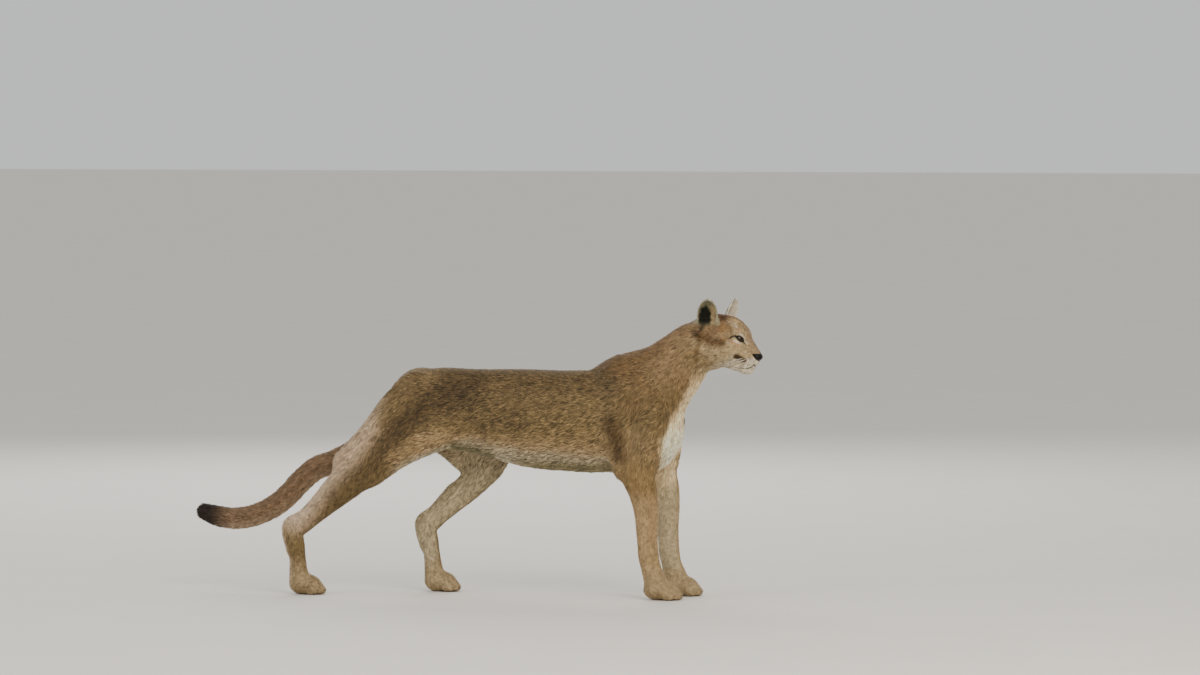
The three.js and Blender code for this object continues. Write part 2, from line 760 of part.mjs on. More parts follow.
// The cup of an ear: an outer and an inner sheet round a hollow, joined along the rim.
// turn says how far the opening faces out from straight ahead.
function earCup(side, root, lean, turn, tall) {
  const rows = 9;
  const columns = 10;
  const sunk = 0.3;
  const widestAt = 0.35;
  const deepAtRoot = 19;
  const deepLoss = 11;
  const rootNarrowing = 0.16;
  const up = new THREE.Vector3(lean[0], lean[1] * side, 1).normalize();
  const open = new THREE.Vector3(Math.cos(rad(turn)), side * Math.sin(rad(turn)), 0.1);
  open.addScaledVector(up, -open.dot(up)).normalize();
  const across = new THREE.Vector3().crossVectors(up, open);
  const sheetPoint = (row, column, inset) => {
    const height = -sunk + ((1 + sunk) * row) / rows;
    const above = Math.max(0, (height - widestAt) / (1 - widestAt));
    const below = Math.max(0, widestAt - height) / widestAt;
    const form = Math.sqrt(Math.max(0, 1 - above ** 2)) * (1 - rootNarrowing * below ** 2);
    const round = Math.PI * (column / columns - 0.5);
    const half = (earHalfWidth - inset) * form * Math.sin(round);
    const deep = (deepAtRoot - deepLoss * Math.max(0, height) - inset) * form * Math.cos(round);
    const local = new THREE.Vector3(root[0], root[1] * side, root[2]);
    local.addScaledVector(up, height * (tall - inset));
    local.addScaledVector(across, half);
    local.addScaledVector(open, -deep);
    return onHead(local.toArray());
  };
  const points = [];
  const index = { outer: [], inner: [] };
  for (const [sheet, inset] of [['outer', 0], ['inner', earWall]]) {
    for (let row = 0; row < rows; row += 1) {
      index[sheet].push([]);
      for (let column = 0; column <= columns; column += 1) {
        index[sheet][row].push(points.length);
        points.push(sheetPoint(row, column, inset));
      }
    }
    const tip = points.length;
    points.push(sheetPoint(rows, columns / 2, inset));
    index[sheet].push(Array(columns + 1).fill(tip));
  }
  const triangles = [];
  const quad = (a, b, c, d) => {
    for (const [p, q, r] of [[a, b, c], [a, c, d]]) {
      if (p !== q && q !== r && p !== r) triangles.push([p, q, r]);
    }
  };
  const { outer, inner } = index;
  for (let row = 0; row < rows; row += 1) {
    for (let column = 0; column < columns; column += 1) {
      quad(outer[row][column + 1], outer[row][column], outer[row + 1][column],
        outer[row + 1][column + 1]);
      quad(inner[row][column], inner[row][column + 1], inner[row + 1][column + 1],
        inner[row + 1][column]);
    }
    quad(outer[row][0], inner[row][0], inner[row + 1][0], outer[row + 1][0]);
    quad(inner[row][columns], outer[row][columns], outer[row + 1][columns],
      inner[row + 1][columns]);
  }
  for (let column = 0; column < columns; column += 1) {
    quad(outer[0][column], outer[0][column + 1], inner[0][column + 1], inner[0][column]);
  }
  return meshSolid(points, triangles);
}

function headSolid() {
  let solid = keep(fieldSolid(headField, headLow, headHigh, headCell), headPlane);
  const lidThickness = 2.9;
  for (const side of [rightSide, leftSide]) {
    solid = solid.add(eyeBall(side, eyeRadius + lidThickness));
    solid = solid.subtract(lidOpening(side));
    solid = solid.subtract(eyeBall(side, eyeRadius + seam));
    solid = solid.subtract(nostril(side));
  }
  return solid.subtract(mouthGroove());
}

const headSkin = fieldSolid(headField, headLow, headHigh, headCell, seam);
const earSolid = (...ear) => earCup(...ear).subtract(headSkin);

function tailPiece(from, to) {
  let solid = fieldSolid(fieldOf([tail]), [-1010, -70, 120], [-330, 110, 620], tailCell);
  solid = keep(solid, from);
  return to ? rest(solid, to) : solid;
}

// Joins the corners that a cut leaves closer than weld, and drops the faces this empties
function weldCorners(positions, triangles, weld) {
  const into = Array.from({ length: positions.length / 3 }, (_, i) => i);
  const rootOf = (i) => {
    let at = i;
    while (into[at] !== at) at = into[at];
    return at;
  };
  const apart = (a, b) => Math.hypot(
    ...[0, 1, 2].map((n) => positions[3 * a + n] - positions[3 * b + n]));
  for (let i = 0; i < triangles.length; i += 3) {
    for (let j = 0; j < 3; j += 1) {
      const a = rootOf(triangles[i + j]);
      const b = rootOf(triangles[i + ((j + 1) % 3)]);
      if (a !== b && apart(a, b) < weld) into[Math.max(a, b)] = Math.min(a, b);
    }
  }
  const kept = [];
  for (let i = 0; i < triangles.length; i += 3) {
    const [a, b, c] = [0, 1, 2].map((j) => rootOf(triangles[i + j]));
    if (a !== b && b !== c && a !== c) kept.push(a, b, c);
  }
  return kept;
}

const cougar = new THREE.Group();

const weldDistance = 0.08;

function addNode(name, solid, color, roughness = 0.9) {
  const body = largest(solid);
  const { vertProperties, triVerts } = body.getMesh();
  const geometry = new THREE.BufferGeometry();
  geometry.setAttribute('position', new THREE.BufferAttribute(vertProperties, 3));
  geometry.setIndex(weldCorners(vertProperties, triVerts, weldDistance));
  geometry.computeVertexNormals();
  const material = new THREE.MeshStandardMaterial({ color, roughness, metalness: 0 });
  const mesh = new THREE.Mesh(geometry, material);
  mesh.name = name;
  mesh.position.set(-centreShift[0], -centreShift[1], 0);
  cougar.add(mesh);
}

addNode('torso', torsoSolid(), coatColor);
addNode('neck', neckSolid(), coatColor);
addNode('head', headSolid(), muzzleColor);
addNode('ear_right', earSolid(rightSide, [-139, 50, 88], [0.09, 0.2], 62, earHeight), coatColor);
addNode('ear_left', earSolid(leftSide, [-115, 50, 88], [0.2, 0.2], 0, earHeight - 2), coatColor);
for (const [name, side] of [['right', rightSide], ['left', leftSide]]) {
  const { toe } = side === rightSide ? stretchedLeg : advancedLeg;
  addNode(`eye_${name}`, eyeBall(side, eyeRadius), irisColor, 0.1);
  addNode(`foreleg_${name}`, forelegSolid(side, name), paleColor);
  addNode(`forepaw_${name}`, pawSolid(side, forelegs[name], 350), paleColor);
  addNode(`thigh_${name}`, thighSolid(side, name), coatColor);
  addNode(`shank_${name}`, shankSolid(side, name), paleColor);
  addNode(`hindpaw_${name}`, pawSolid(side, hindLegs[name], toe[0] + 10), paleColor);
}
addNode('tail_root', tailPiece(tailPlane, midTailPlane), tailColor);
addNode('tail_middle', tailPiece(midTailPlane, tipPlane), tailColor);
addNode('tail_tip', tailPiece(tipPlane, null), tailColor);

export default cougar;
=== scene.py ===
import math

import bmesh
import bpy
import numpy as np
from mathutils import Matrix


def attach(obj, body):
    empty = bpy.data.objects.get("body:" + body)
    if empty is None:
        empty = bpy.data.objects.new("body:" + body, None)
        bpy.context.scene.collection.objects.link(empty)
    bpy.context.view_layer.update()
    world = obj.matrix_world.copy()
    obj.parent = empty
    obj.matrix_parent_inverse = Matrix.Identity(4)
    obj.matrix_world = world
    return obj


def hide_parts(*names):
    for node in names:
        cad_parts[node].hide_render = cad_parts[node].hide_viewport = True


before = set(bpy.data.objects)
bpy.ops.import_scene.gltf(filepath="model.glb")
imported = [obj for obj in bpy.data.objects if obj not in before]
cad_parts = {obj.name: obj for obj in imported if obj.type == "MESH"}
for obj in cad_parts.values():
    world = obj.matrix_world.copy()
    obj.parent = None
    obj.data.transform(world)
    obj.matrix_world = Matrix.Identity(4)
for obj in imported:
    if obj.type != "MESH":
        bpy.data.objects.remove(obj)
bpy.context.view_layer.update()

import openvdb
from mathutils import Vector
from mathutils.bvhtree import BVHTree

# The body's shapes are in millimetres: x towards the nose, y the animal's left, z up.
# A point of the shared frame is (point + bodyShift) / 1000.
bodyShift = np.array([172.73, 0.23, 0.0])
millimetre = 0.001
farAway = 90.0
rightSide, leftSide = -1, 1
random = np.random.default_rng(7)

body = {
    "backHeight": 613,
    "bellyHeight": 338,
    "ribHalfWidth": 111,
    "legSpread": 88,
    "farForelegLead": 26,
    "headTurn": -12,
    "noseTip": (617, -34, 651),
    "trunkSquareness": 2.15,
    "stepsPerSpan": 6,
}


def toMetres(points):
    return (np.asarray(points, float) + bodyShift) * millimetre


def unit(vectors):
    vectors = np.asarray(vectors, float)
    return vectors / np.maximum(np.linalg.norm(vectors, axis=-1, keepdims=True), 1e-9)


def ramp(value, low, high):
    share = np.clip((value - low) / (high - low), 0, 1)
    return share * share * (3 - 2 * share)


def smoothMin(a, b, blend):
    share = np.clip(0.5 + 0.5 * (b - a) / blend, 0, 1)
    return b + (a - b) * share - blend * share * (1 - share)


def smoothMax(a, b, blend):
    return -smoothMin(-a, -b, blend)


def curveAt(keys, rows, at):
    # a cubic through rows of numbers, read at several keys
    keys, rows = np.asarray(keys, float), np.asarray(rows, float)
    slopes = np.gradient(rows, keys, axis=0)
    i = np.clip(np.searchsorted(keys, at, side="right") - 1, 0, len(keys) - 2)
    step = keys[i + 1] - keys[i]
    t = np.clip((at - keys[i]) / step, 0, 1)[:, None]
    step = step[:, None]
    smooth = t * t * (3 - 2 * t)
    bend = t * (1 - t) * step * ((1 - t) * slopes[i] - t * slopes[i + 1])
    return rows[i] + (rows[i + 1] - rows[i]) * smooth + bend


def lengthsAlong(rows):
    rows = np.asarray(rows, float)
    return np.concatenate([[0], np.cumsum(np.linalg.norm(np.diff(rows[:, :3], axis=0), axis=1))])


def coneDistance(points, a, b):
    # a rounded cone from a to b, each x, y, z, radius, width factor
    flat = np.array([1, 2 / (a[4] + b[4]), 1], np.float32)
    run = ((b[:3] - a[:3]) * flat).astype(np.float32)
    away = (points - a[:3].astype(np.float32)) * flat
    share = np.clip(away @ run / (run @ run), 0, 1)
    away -= share[:, None] * run
    return np.sqrt(np.einsum("ij,ij->i", away, away)) - (a[3] + share * (b[3] - a[3]))


def tube(blend, rows):
    # a limb: rounded cones along a smooth curve through a few rows
    rows = np.asarray(rows, float)
    keys = lengthsAlong(rows)
    steps = np.arange(body["stepsPerSpan"]) / body["stepsPerSpan"]
    at = (keys[:-1, None] + np.diff(keys)[:, None] * steps).ravel()
    fine = np.vstack([curveAt(keys, rows, at), rows[-1:]])
    reach = fine[:, 3:4] * np.maximum(1, fine[:, 4:5])

    def distance(points):
        nearest = np.full(len(points), farAway, np.float32)
        for a, b in zip(fine[:-1], fine[1:]):
            nearest = np.minimum(nearest, coneDistance(points, a, b))
        return nearest

    return {
        "blend": blend,
        "low": (fine[:, :3] - reach).min(0),
        "high": (fine[:, :3] + reach).max(0),
        "distance": distance,
    }


def turned(pitch, yaw):
    # columns are the axes of a shape with its nose pitched down and yawed to the left
    p, q = math.radians(pitch), math.radians(yaw)
    down = np.array([[math.cos(p), 0, math.sin(p)], [0, 1, 0], [-math.sin(p), 0, math.cos(p)]])
    left = np.array([[math.cos(q), -math.sin(q), 0], [math.sin(q), math.cos(q), 0], [0, 0, 1]])
    return left @ down


def ball(blend, centre, radii, turn=(0, 0)):
    axes = turned(*turn).astype(np.float32)
    centre, radii = np.array(centre, np.float32), np.array(radii, np.float32)

    def distance(points):
        local = (points - centre) @ axes / radii
        near = np.sqrt(np.einsum("ij,ij->i", local, local))
        local /= radii
        slope = np.sqrt(np.einsum("ij,ij->i", local, local))
        return near * (near - 1) / np.maximum(slope, 1e-6)

    reach = radii.max()
    return {"blend": blend, "low": centre - reach, "high": centre + reach, "distance": distance}


def trunkBarrel(blend):
    top, bottom, half = body["backHeight"], body["bellyHeight"], body["ribHalfWidth"]
    stations = np.array([
        # x, top, bottom, half width, share of the height at which it is widest
        (-396, top - 42, bottom + 137, 26, 0.55),
        (-360, top - 12, bottom + 95, 58, 0.58),
        (-290, top, bottom + 69, 80, 0.55),
        (-170, top - 1, bottom + 44, 92, 0.5),
        (-40, top, bottom + 12, half - 5, 0.48),
        (80, top - 2, bottom + 2, half, 0.45),
        (170, top + 2, bottom, half - 3, 0.42),
        (260, top + 7, bottom + 9, half - 16, 0.4),
        (343, top - 4, bottom + 39, half - 41, 0.42),
        (378, top - 28, bottom + 87, half - 67, 0.45),
    ], float)
    keys = stations[:, 0]
    square = body["trunkSquareness"]

    def distance(points):
        x, y, z = points.T
        along = np.clip(x, keys[0], keys[-1])
        high, low, wide, share = curveAt(keys, stations, along).T[1:]
        middle = low + (high - low) * share
        height = np.where(z > middle, high - middle, middle - low)
        ring = np.abs(y / wide) ** square + np.abs((z - middle) / height) ** square
        off = (ring ** (1 / square) - 1) * np.minimum(wide, height)
        return np.where(along == x, off, np.hypot(np.maximum(off, 0), x - along))

    low = np.array([keys[0], -half, bottom])
    return {"blend": blend, "low": low, "high": np.array([keys[-1], half, top + 10]),
            "distance": distance}


def pawShapes(place, x, y, size):
    shapes = [ball(12, place(x + 8, y, 27), (45 * size, 40 * size, 29))]
    for ahead, aside, radius in ((34, -27, 15.5), (47, -10, 16.5), (46, 10, 16.5), (31, 27, 15.5)):
        def toe(share, spread, *rest):
            return place(x + ahead * share * size, y + aside * spread * size, *rest)
        shapes.append(tube(6, [
            toe(0.3, 0.8, 33, 16 * size, 1),
            toe(0.75, 0.97, 28, 17 * size, 1),
            toe(1, 1, 17, radius * size, 1),
            place(x + (ahead + 8) * size, y + aside * 1.02 * size, 11.5, 13.5 * size, 1),
        ]))
    return shapes


def foreleg(side, lead):
    def place(x, y, z, *rest):
        return (x + lead * min(1, max(0, (560 - z) / 260)), y * side, z, *rest)
    y = body["legSpread"]
    return {"blend": 30, "shapes": [
        tube(40, [
            place(215, y - 36, 586, 34, 0.8), place(262, y - 16, 560, 44, 0.75),
            place(312, y - 3, 520, 50, 0.72), place(325, y + 3, 478, 46, 0.76),
            place(314, y + 5, 430, 48, 0.74), place(299, y + 2, 376, 49, 0.72),
        ]),
        tube(34, [
            place(250, y - 18, 530, 42, 0.7), place(238, y - 2, 470, 44, 0.66),
            place(248, y + 1, 400, 39, 0.68),
        ]),
        tube(22, [
            place(266, y, 388, 46, 0.72), place(284, y, 345, 47, 0.78),
            place(301, y - 4, 290, 39, 0.84), place(309, y - 7, 240, 33.5, 0.9),
            place(311, y - 10, 180, 29, 0.96), place(313, y - 11, 145, 28, 1.02),
            place(315, y - 12, 118, 28, 1.08), place(322, y - 13, 84, 27, 1.12),
            place(332, y - 13, 54, 30, 1.2),
        ]),
        ball(18, place(246, y - 1, 352), (24, 23, 26)),
        *pawShapes(place, 338, y - 13, 1),
    ]}


# x and z of the joints of each hind leg, and y of its knee and hock
hindJoints = {
    "right": {"hip": (-343, 524), "knee": (-455, 338), "hock": (-660, 172), "toe": (-650, 46),
              "kneeOut": 94, "hockOut": 88,
              "hamstring": [(-0.05, -16, -0.1, 38, 0.6), (0.3, -28, 0.45, 38, 0.64),
                            (0.8, -44, 0.9, 43, 0.62), (1.05, -54, 1, 45, 0.6)],
              "calf": [(-0.12, -12, 0, 46, 0.62), (0.12, -14, 0, 50, 0.68),
                       (0.36, -12, 0.1, 44, 0.76), (0.62, -6, 0.5, 33, 0.84)],
              "fold": [(-225, 66, 457, 46, 0.5), (-300, 84, 427, 46, 0.55),
                       (-375, 92, 400, 50, 0.58), (-430, 94, 366, 42, 0.6)]},
    "left": {"hip": (-322, 508), "knee": (-168, 348), "hock": (-330, 176), "toe": (-314, 46),
             "kneeOut": 92, "hockOut": 84,
             "hamstring": [(-0.05, -34, -0.1, 44, 0.6), (0.3, -30, 0.45, 42, 0.64),
                           (0.8, -30, 0.9, 34, 0.62)],
             "calf": [(-0.12, 0, 0, 42, 0.62), (0.12, 5, 0, 42, 0.68),
                      (0.36, 4, 0.1, 38, 0.76), (0.62, 0, 0.5, 32, 0.84)],
             "fold": None},
}


def hindLeg(side, joints):
    hip, knee, hock, toe = (np.array(joints[k], float) for k in ("hip", "knee", "hock", "toe"))
    kneeOut, hockOut, hipOut = joints["kneeOut"], joints["hockOut"], 58

    def bone(start, end, startOut, endOut):
        length = np.linalg.norm(end - start)
        way = (end - start) / length
        ahead = np.array([-way[1], way[0]]) if way[1] < 0 else np.array([way[1], -way[0]])

        def at(share, forward, outShare, *rest):
            x, z = start + way * length * share + ahead * forward
            return (x, side * (startOut + (endOut - startOut) * outShare), z, *rest)
        return at

    def foot(share, radius, wide):
        x, z = hock + (toe - hock) * share
        return (x, side * hockOut, z, radius, wide)

    def place(x, y, z, *rest):
        return (x, y * side, z, *rest)

    thigh = bone(hip, knee, hipOut, kneeOut)
    shank = bone(knee, hock, kneeOut, hockOut)
    shapes = [
        tube(34, [thigh(-0.12, 2, -0.1, 53, 0.6), thigh(0.2, 4, 0.35, 70, 0.6),
                  thigh(0.6, 6, 0.8, 62, 0.58), thigh(1, 0, 1, 41, 0.6)]),
        tube(34, [thigh(*row) for row in joints["hamstring"]]),
        ball(16, thigh(1, 8, 1), (31, 25, 31)),
        tube(20, [
            *(shank(*row) for row in joints["calf"]),
            shank(0.85, 0, 0.85, 25, 0.9), shank(1, 0, 1, 26, 0.86),
            foot(0.34, 22.5, 1), foot(0.7, 23, 1.05), foot(0.97, 26, 1.15),
        ]),
        tube(22, [
            shank(0.5, -14, 0.4, 17, 0.9), shank(0.82, -17, 0.85, 15, 0.9),
            place(hock[0] - 20, hockOut, hock[1] + 12, 16, 0.9),
            place(hock[0] - 15, hockOut, hock[1] - 18, 17, 0.95),
            place(hock[0] - 8, hockOut, hock[1] - 46, 16, 1),
        ]),
        *pawShapes(place, toe[0] + 8, hockOut, 0.94),
    ]
    if joints["fold"]:
        shapes.append(tube(34, [place(*row) for row in joints["fold"]]))
    return {"blend": 34, "shapes": shapes}


# From the rump down behind the right thigh and out along the ground: x, y, z, radius
tailLine = np.array([
    (-356, 0, 556, 36), (-388, 2, 526, 34), (-420, 6, 486, 32), (-462, 11, 438, 31),
    (-512, 15, 389, 31), (-572, 18, 356, 31), (-630, 21, 334, 30.5), (-672, 23, 300, 30),
    (-708, 25, 262, 29.5), (-752, 28, 228, 29), (-805, 31, 204, 28.5), (-862, 34, 194, 28),
    (-912, 36, 200, 26.5), (-946, 38, 210, 22),
], float)

headCos, headSin = (f(math.radians(body["headTurn"])) for f in (math.cos, math.sin))
headAxes = np.array([[headCos, -headSin, 0], [headSin, headCos, 0], [0, 0, 1]])
noseTip = np.array(body["noseTip"], float)


def fromHead(points):
    # the head is measured from the nose tip: u ahead, v to the left, w up
    return np.asarray(points, float) @ headAxes.T + noseTip


def toHead(points):
    return (np.asarray(points, float) - noseTip) @ headAxes


def headBall(blend, centre, radii, turn=(0, 0)):
    return ball(blend, fromHead(centre), radii, (turn[0], turn[1] + body["headTurn"]))


def headCone(blend, a, radiusA, b, radiusB):
    return tube(blend, [(*fromHead(a), radiusA, 1), (*fromHead(b), radiusB, 1)])


eye = {
    "middle": (-58.5, 29.5, 51),
    "radius": 14.6,
    "gazeOut": 34,          # degrees out from straight ahead
    "lid": 2.0,             # thickness of the lids
    "tilt": 25,             # degrees by which the outer corner lies higher
    "halfLength": 13.0,
    "upper": 5.9,
    "lower": 5.2,
}


def headShapes():
    shapes = [
        headBall(14, (-134, 0, 58), (66, 57, 58)),
        headBall(18, (-92, 0, 58), (50, 45, 50), (10, 0)),
        headBall(20, (-148, 0, 22), (56, 60, 56)),
        headCone(16, (-66, 0, 50), 29, (-20, 0, 9), 15),
    ]
    for side in (rightSide, leftSide):
        shapes += [
            headBall(22, (-96, 34 * side, 54), (36, 22, 30)),
            headBall(12, (-65, 24 * side, 71), (19, 15, 11), (25, 0)),
            headBall(24, (-98, 43 * side, 22), (46, 27, 34), (0, 14 * side)),
            headBall(22, (-112, 42 * side, 9), (40, 25, 29), (0, 8 * side)),
            headBall(20, (-62, 24 * side, 16), (34, 22, 26), (25, 12 * side)),
            headBall(12, (-45, 16 * side, -9), (29, 19.5, 17.5), (6, 10 * side)),
            headCone(18, (-50, 12 * side, -28.5), 13, (-108, 36 * side, 2), 20),
            headBall(14, (-66, 25 * side, -15), (22, 14, 12), (0, 20 * side)),
        ]
    shapes += [
        headBall(10, (-40, 0, -32), (17, 18, 13), (-10, 0)),
        headBall(6, (-19, 0, -9), (9, 9, 10)),
        headBall(7, (-12, 0, 1.5), (12, 16, 9.5)),
        headBall(16, (-122, 0, 9), (50, 44, 31)),
    ]
    for side in (rightSide, leftSide):
        u, v, w = eye["middle"]
        lid = eye["radius"] + eye["lid"] + 1.2
        shapes.append(headBall(5, (u, v * side, w), (lid, lid, lid)))
    return shapes


# Each ear: its root, how it leans ahead and out, how far it opens out to the side, its height
ears = {
    "right": {"side": rightSide, "root": (-139, 50, 88), "lean": (0.09, 0.2), "turn": 62,
              "tall": 71},
    "left": {"side": leftSide, "root": (-115, 50, 88), "lean": (0.2, 0.2), "turn": 0,
             "tall": 69},
}
earForm = {"halfWidth": 29, "widestAt": 0.35, "deepAtRoot": 19, "deepLoss": 11, "wall": 3.4}


def earAxes(ear):
    up = unit((ear["lean"][0], ear["lean"][1] * ear["side"], 1))
    turn = math.radians(ear["turn"])
    ahead = np.array([math.cos(turn), ear["side"] * math.sin(turn), 0.1])
    ahead = unit(ahead - ahead @ up * up)
    return up, ahead, np.cross(up, ahead)


def earPlace(points, ear):
    # height up the ear as a share, distance across it and distance behind its opening
    up, ahead, across = earAxes(ear)
    root = np.array(ear["root"], float) * (1, ear["side"], 1)
    off = toHead(points) - root
    return off @ up / ear["tall"], off @ across, -(off @ ahead)


def earDepth(height):
    return earForm["deepAtRoot"] - earForm["deepLoss"] * np.maximum(0, height)


def earLobe(ear):
    tall, widest = ear["tall"], earForm["widestAt"]

    def distance(points):
        height, across, behind = earPlace(points, ear)
        narrow = 1 - 0.16 * np.maximum(0, (widest - height) / widest) ** 2
        radii = np.stack([earForm["halfWidth"] * narrow, earDepth(height) * narrow,
                          np.full(len(points), (1 - widest) * tall)], 1)
        local = np.stack([across, np.maximum(behind, 0),
                          np.maximum(0, height - widest) * tall], 1) / radii
        near = np.linalg.norm(local, axis=1)
        slope = np.linalg.norm(local / radii, axis=1)
        off = np.where(near > 1e-3, near * (near - 1) / np.maximum(slope, 1e-6), -radii[:, 1])
        off = smoothMax(off, -behind, 2.5)
        return smoothMax(off, -(height + 0.25) * tall, 2)

    middle = fromHead(np.array(ear["root"], float) * (1, ear["side"], 1) + (6, 8 * ear["side"], 30))
    return {"blend": 9, "low": middle - 62, "high": middle + 62, "distance": distance}


groups = [
    {"blend": 1, "shapes": [
        trunkBarrel(20),
        ball(40, (244, 0, 612), (78, 56, 42), (-8, 0)),
        ball(28, (324, 0, 446), (64, 76, 98), (8, 0)),
        ball(25, (-334, 0, 548), (50, 60, 54)),
    ]},
    {"blend": 40, "shapes": [tube(20, [
        (290, 0, 552, 104, 0.92), (346, 0, 598, 91, 0.9), (388, -2, 640, 78, 0.94),
        (422, -6, 673, 68, 0.98), (450, -13, 692, 60, 1),
    ])]},
    foreleg(rightSide, 0),
    foreleg(leftSide, body["farForelegLead"]),
    hindLeg(rightSide, hindJoints["right"]),
    hindLeg(leftSide, hindJoints["left"]),
    {"blend": 22, "shapes": [tube(12, np.column_stack([tailLine, np.ones(len(tailLine))]))]},
    {"blend": 18, "shapes": headShapes()},
    {"blend": 7, "shapes": [earLobe(ears["right"])]},
    {"blend": 7, "shapes": [earLobe(ears["left"])]},
]
for group in groups:
    group["low"] = np.min([shape["low"] for shape in group["shapes"]], 0)
    group["high"] = np.max([shape["high"] for shape in group["shapes"]], 0)


def within(points, box, reach):
    low, high = box["low"] - reach, box["high"] + reach
    return np.flatnonzero(((points > low) & (points < high)).all(1))


def bodyDistance(points, reach=30):
    points = np.asarray(points, np.float32)
    whole = np.full(len(points), farAway, np.float32)
    for group in groups:
        near = within(points, group, reach + group["blend"])
        if not len(near):
            continue
        local = points[near]
        part = np.full(len(near), farAway, np.float32)
        for shape in group["shapes"]:
            hit = within(local, shape, reach + group["blend"])
            if len(hit):
                off = shape["distance"](local[hit])
                part[hit] = smoothMin(part[hit], off, shape["blend"])
        whole[near] = smoothMin(whole[near], part, group["blend"])
    return whole


# The coat is told by guides: a place, the way the hair lies there and its length
regions = ["trunk", "neck", "fore", "hind", "tail", "head", "ear"]
coatGuides = []


def guide(region, at, lie, length):
    coatGuides.append((*at, *unit(lie), length, regions.index(region)))


def headGuide(at, lie, length, region="head"):
    for side in ((rightSide, leftSide) if at[1] else (leftSide,)):
        flip = np.array([1, side, 1])
        guide(region, fromHead(at * flip), headAxes @ (lie * flip), length)


for x in (-370, -270, -170, -70, 30, 130, 230, 320):
    drop = 0.9 if x < -340 else 0.12
    guide("trunk", (x, 0, 612), (-1, 0, -drop), 13)
    guide("trunk", (x, 0, 345 if x > -100 else 395), (-1, 0, 0), 21)
    for side in (rightSide, leftSide):
        guide("trunk", (x, 60 * side, 590), (-1, 0, -drop), 14)
        guide("trunk", (x, 100 * side, 490), (-1, 0, -0.3 - drop / 2), 15)
        guide("trunk", (x, 85 * side, 400), (-1, 0, -0.2), 18)
for side in (rightSide, leftSide):
    guide("neck", (400, 55 * side, 590), (-0.5, 0, -0.86), 17)
    guide("neck", (345, 84 * side, 594), (-0.7, 0, -0.7), 15)
    guide("neck", (385, 72 * side, 645), (-0.75, 0, -0.65), 15)
    guide("neck", (430, 62 * side, 690), (-0.8, 0, -0.6), 14)
    guide("neck", (380, 45 * side, 470), (-0.25, 0, -1), 17)
guide("neck", (398, 0, 470), (-0.1, 0, -1), 18)
guide("neck", (408, 0, 540), (-0.2, 0, -1), 18)
guide("neck", (440, -8, 600), (-0.5, 0, -0.86), 17)
guide("neck", (340, 0, 690), (-0.85, 0, -0.5), 13)
guide("neck", (400, -4, 735), (-0.8, 0, -0.6), 12)
for side, lead in ((rightSide, 0), (leftSide, body["farForelegLead"])):
    for x, y, z, lie, length in (
        (285, 100, 520, (-0.4, 0, -0.9), 15), (300, 118, 450, (-0.3, 0, -0.95), 14),
        (240, 108, 430, (-0.45, 0, -0.9), 15), (290, 118, 380, (-0.25, 0, -1), 13),
        (285, 100, 330, (-0.2, 0, -1), 11), (300, 85, 270, (-0.12, 0, -1), 9),
        (308, 80, 210, (-0.08, 0, -1), 8), (313, 76, 150, (0, 0, -1), 7),
        (318, 75, 100, (0.1, 0, -1), 6.5), (345, 75, 62, (0.6, 0, -0.7), 5.5),
        (385, 75, 30, (0.9, 0, -0.45), 4.5), (315, 75, 20, (0.2, 0, -1), 5),
    ):
        guide("fore", (x + lead, y * side, z), lie, length)
for side, name in ((rightSide, "right"), (leftSide, "left")):
    joints = hindJoints[name]
    line = [np.array(joints[k], float) for k in ("hip", "knee", "hock", "toe")]
    outs = (84, joints["kneeOut"] + 8, joints["hockOut"], joints["hockOut"])
    lengths = (16, 13, 8, 6)
    for i in range(3):
        way = line[i + 1] - line[i]
        for share in (0.15, 0.5, 0.85):
            x, z = line[i] + way * share
            y = outs[i] + (outs[i + 1] - outs[i]) * share
            length = lengths[i] + (lengths[i + 1] - lengths[i]) * share
            guide("hind", (x, y * side, z), (way[0], 0, way[1] - 40), length)
    toeX = joints["toe"][0]
    guide("hind", (toeX + 20, joints["hockOut"] * side, 58), (0.6, 0, -0.7), 5.5)
    guide("hind", (toeX + 52, joints["hockOut"] * side, 30), (0.9, 0, -0.45), 4.5)
    guide("hind", (toeX - 15, joints["hockOut"] * side, 20), (0.2, 0, -1), 5)
    guide("hind", (-400, 60 * side, 470), (-0.5, 0, -0.86), 17)
for here, after in zip(tailLine[1:-1], tailLine[2:]):
    guide("tail", here[:3], after[:3] - here[:3], 15)
guide("tail", tailLine[-1, :3], tailLine[-1, :3] - tailLine[-2, :3], 14)
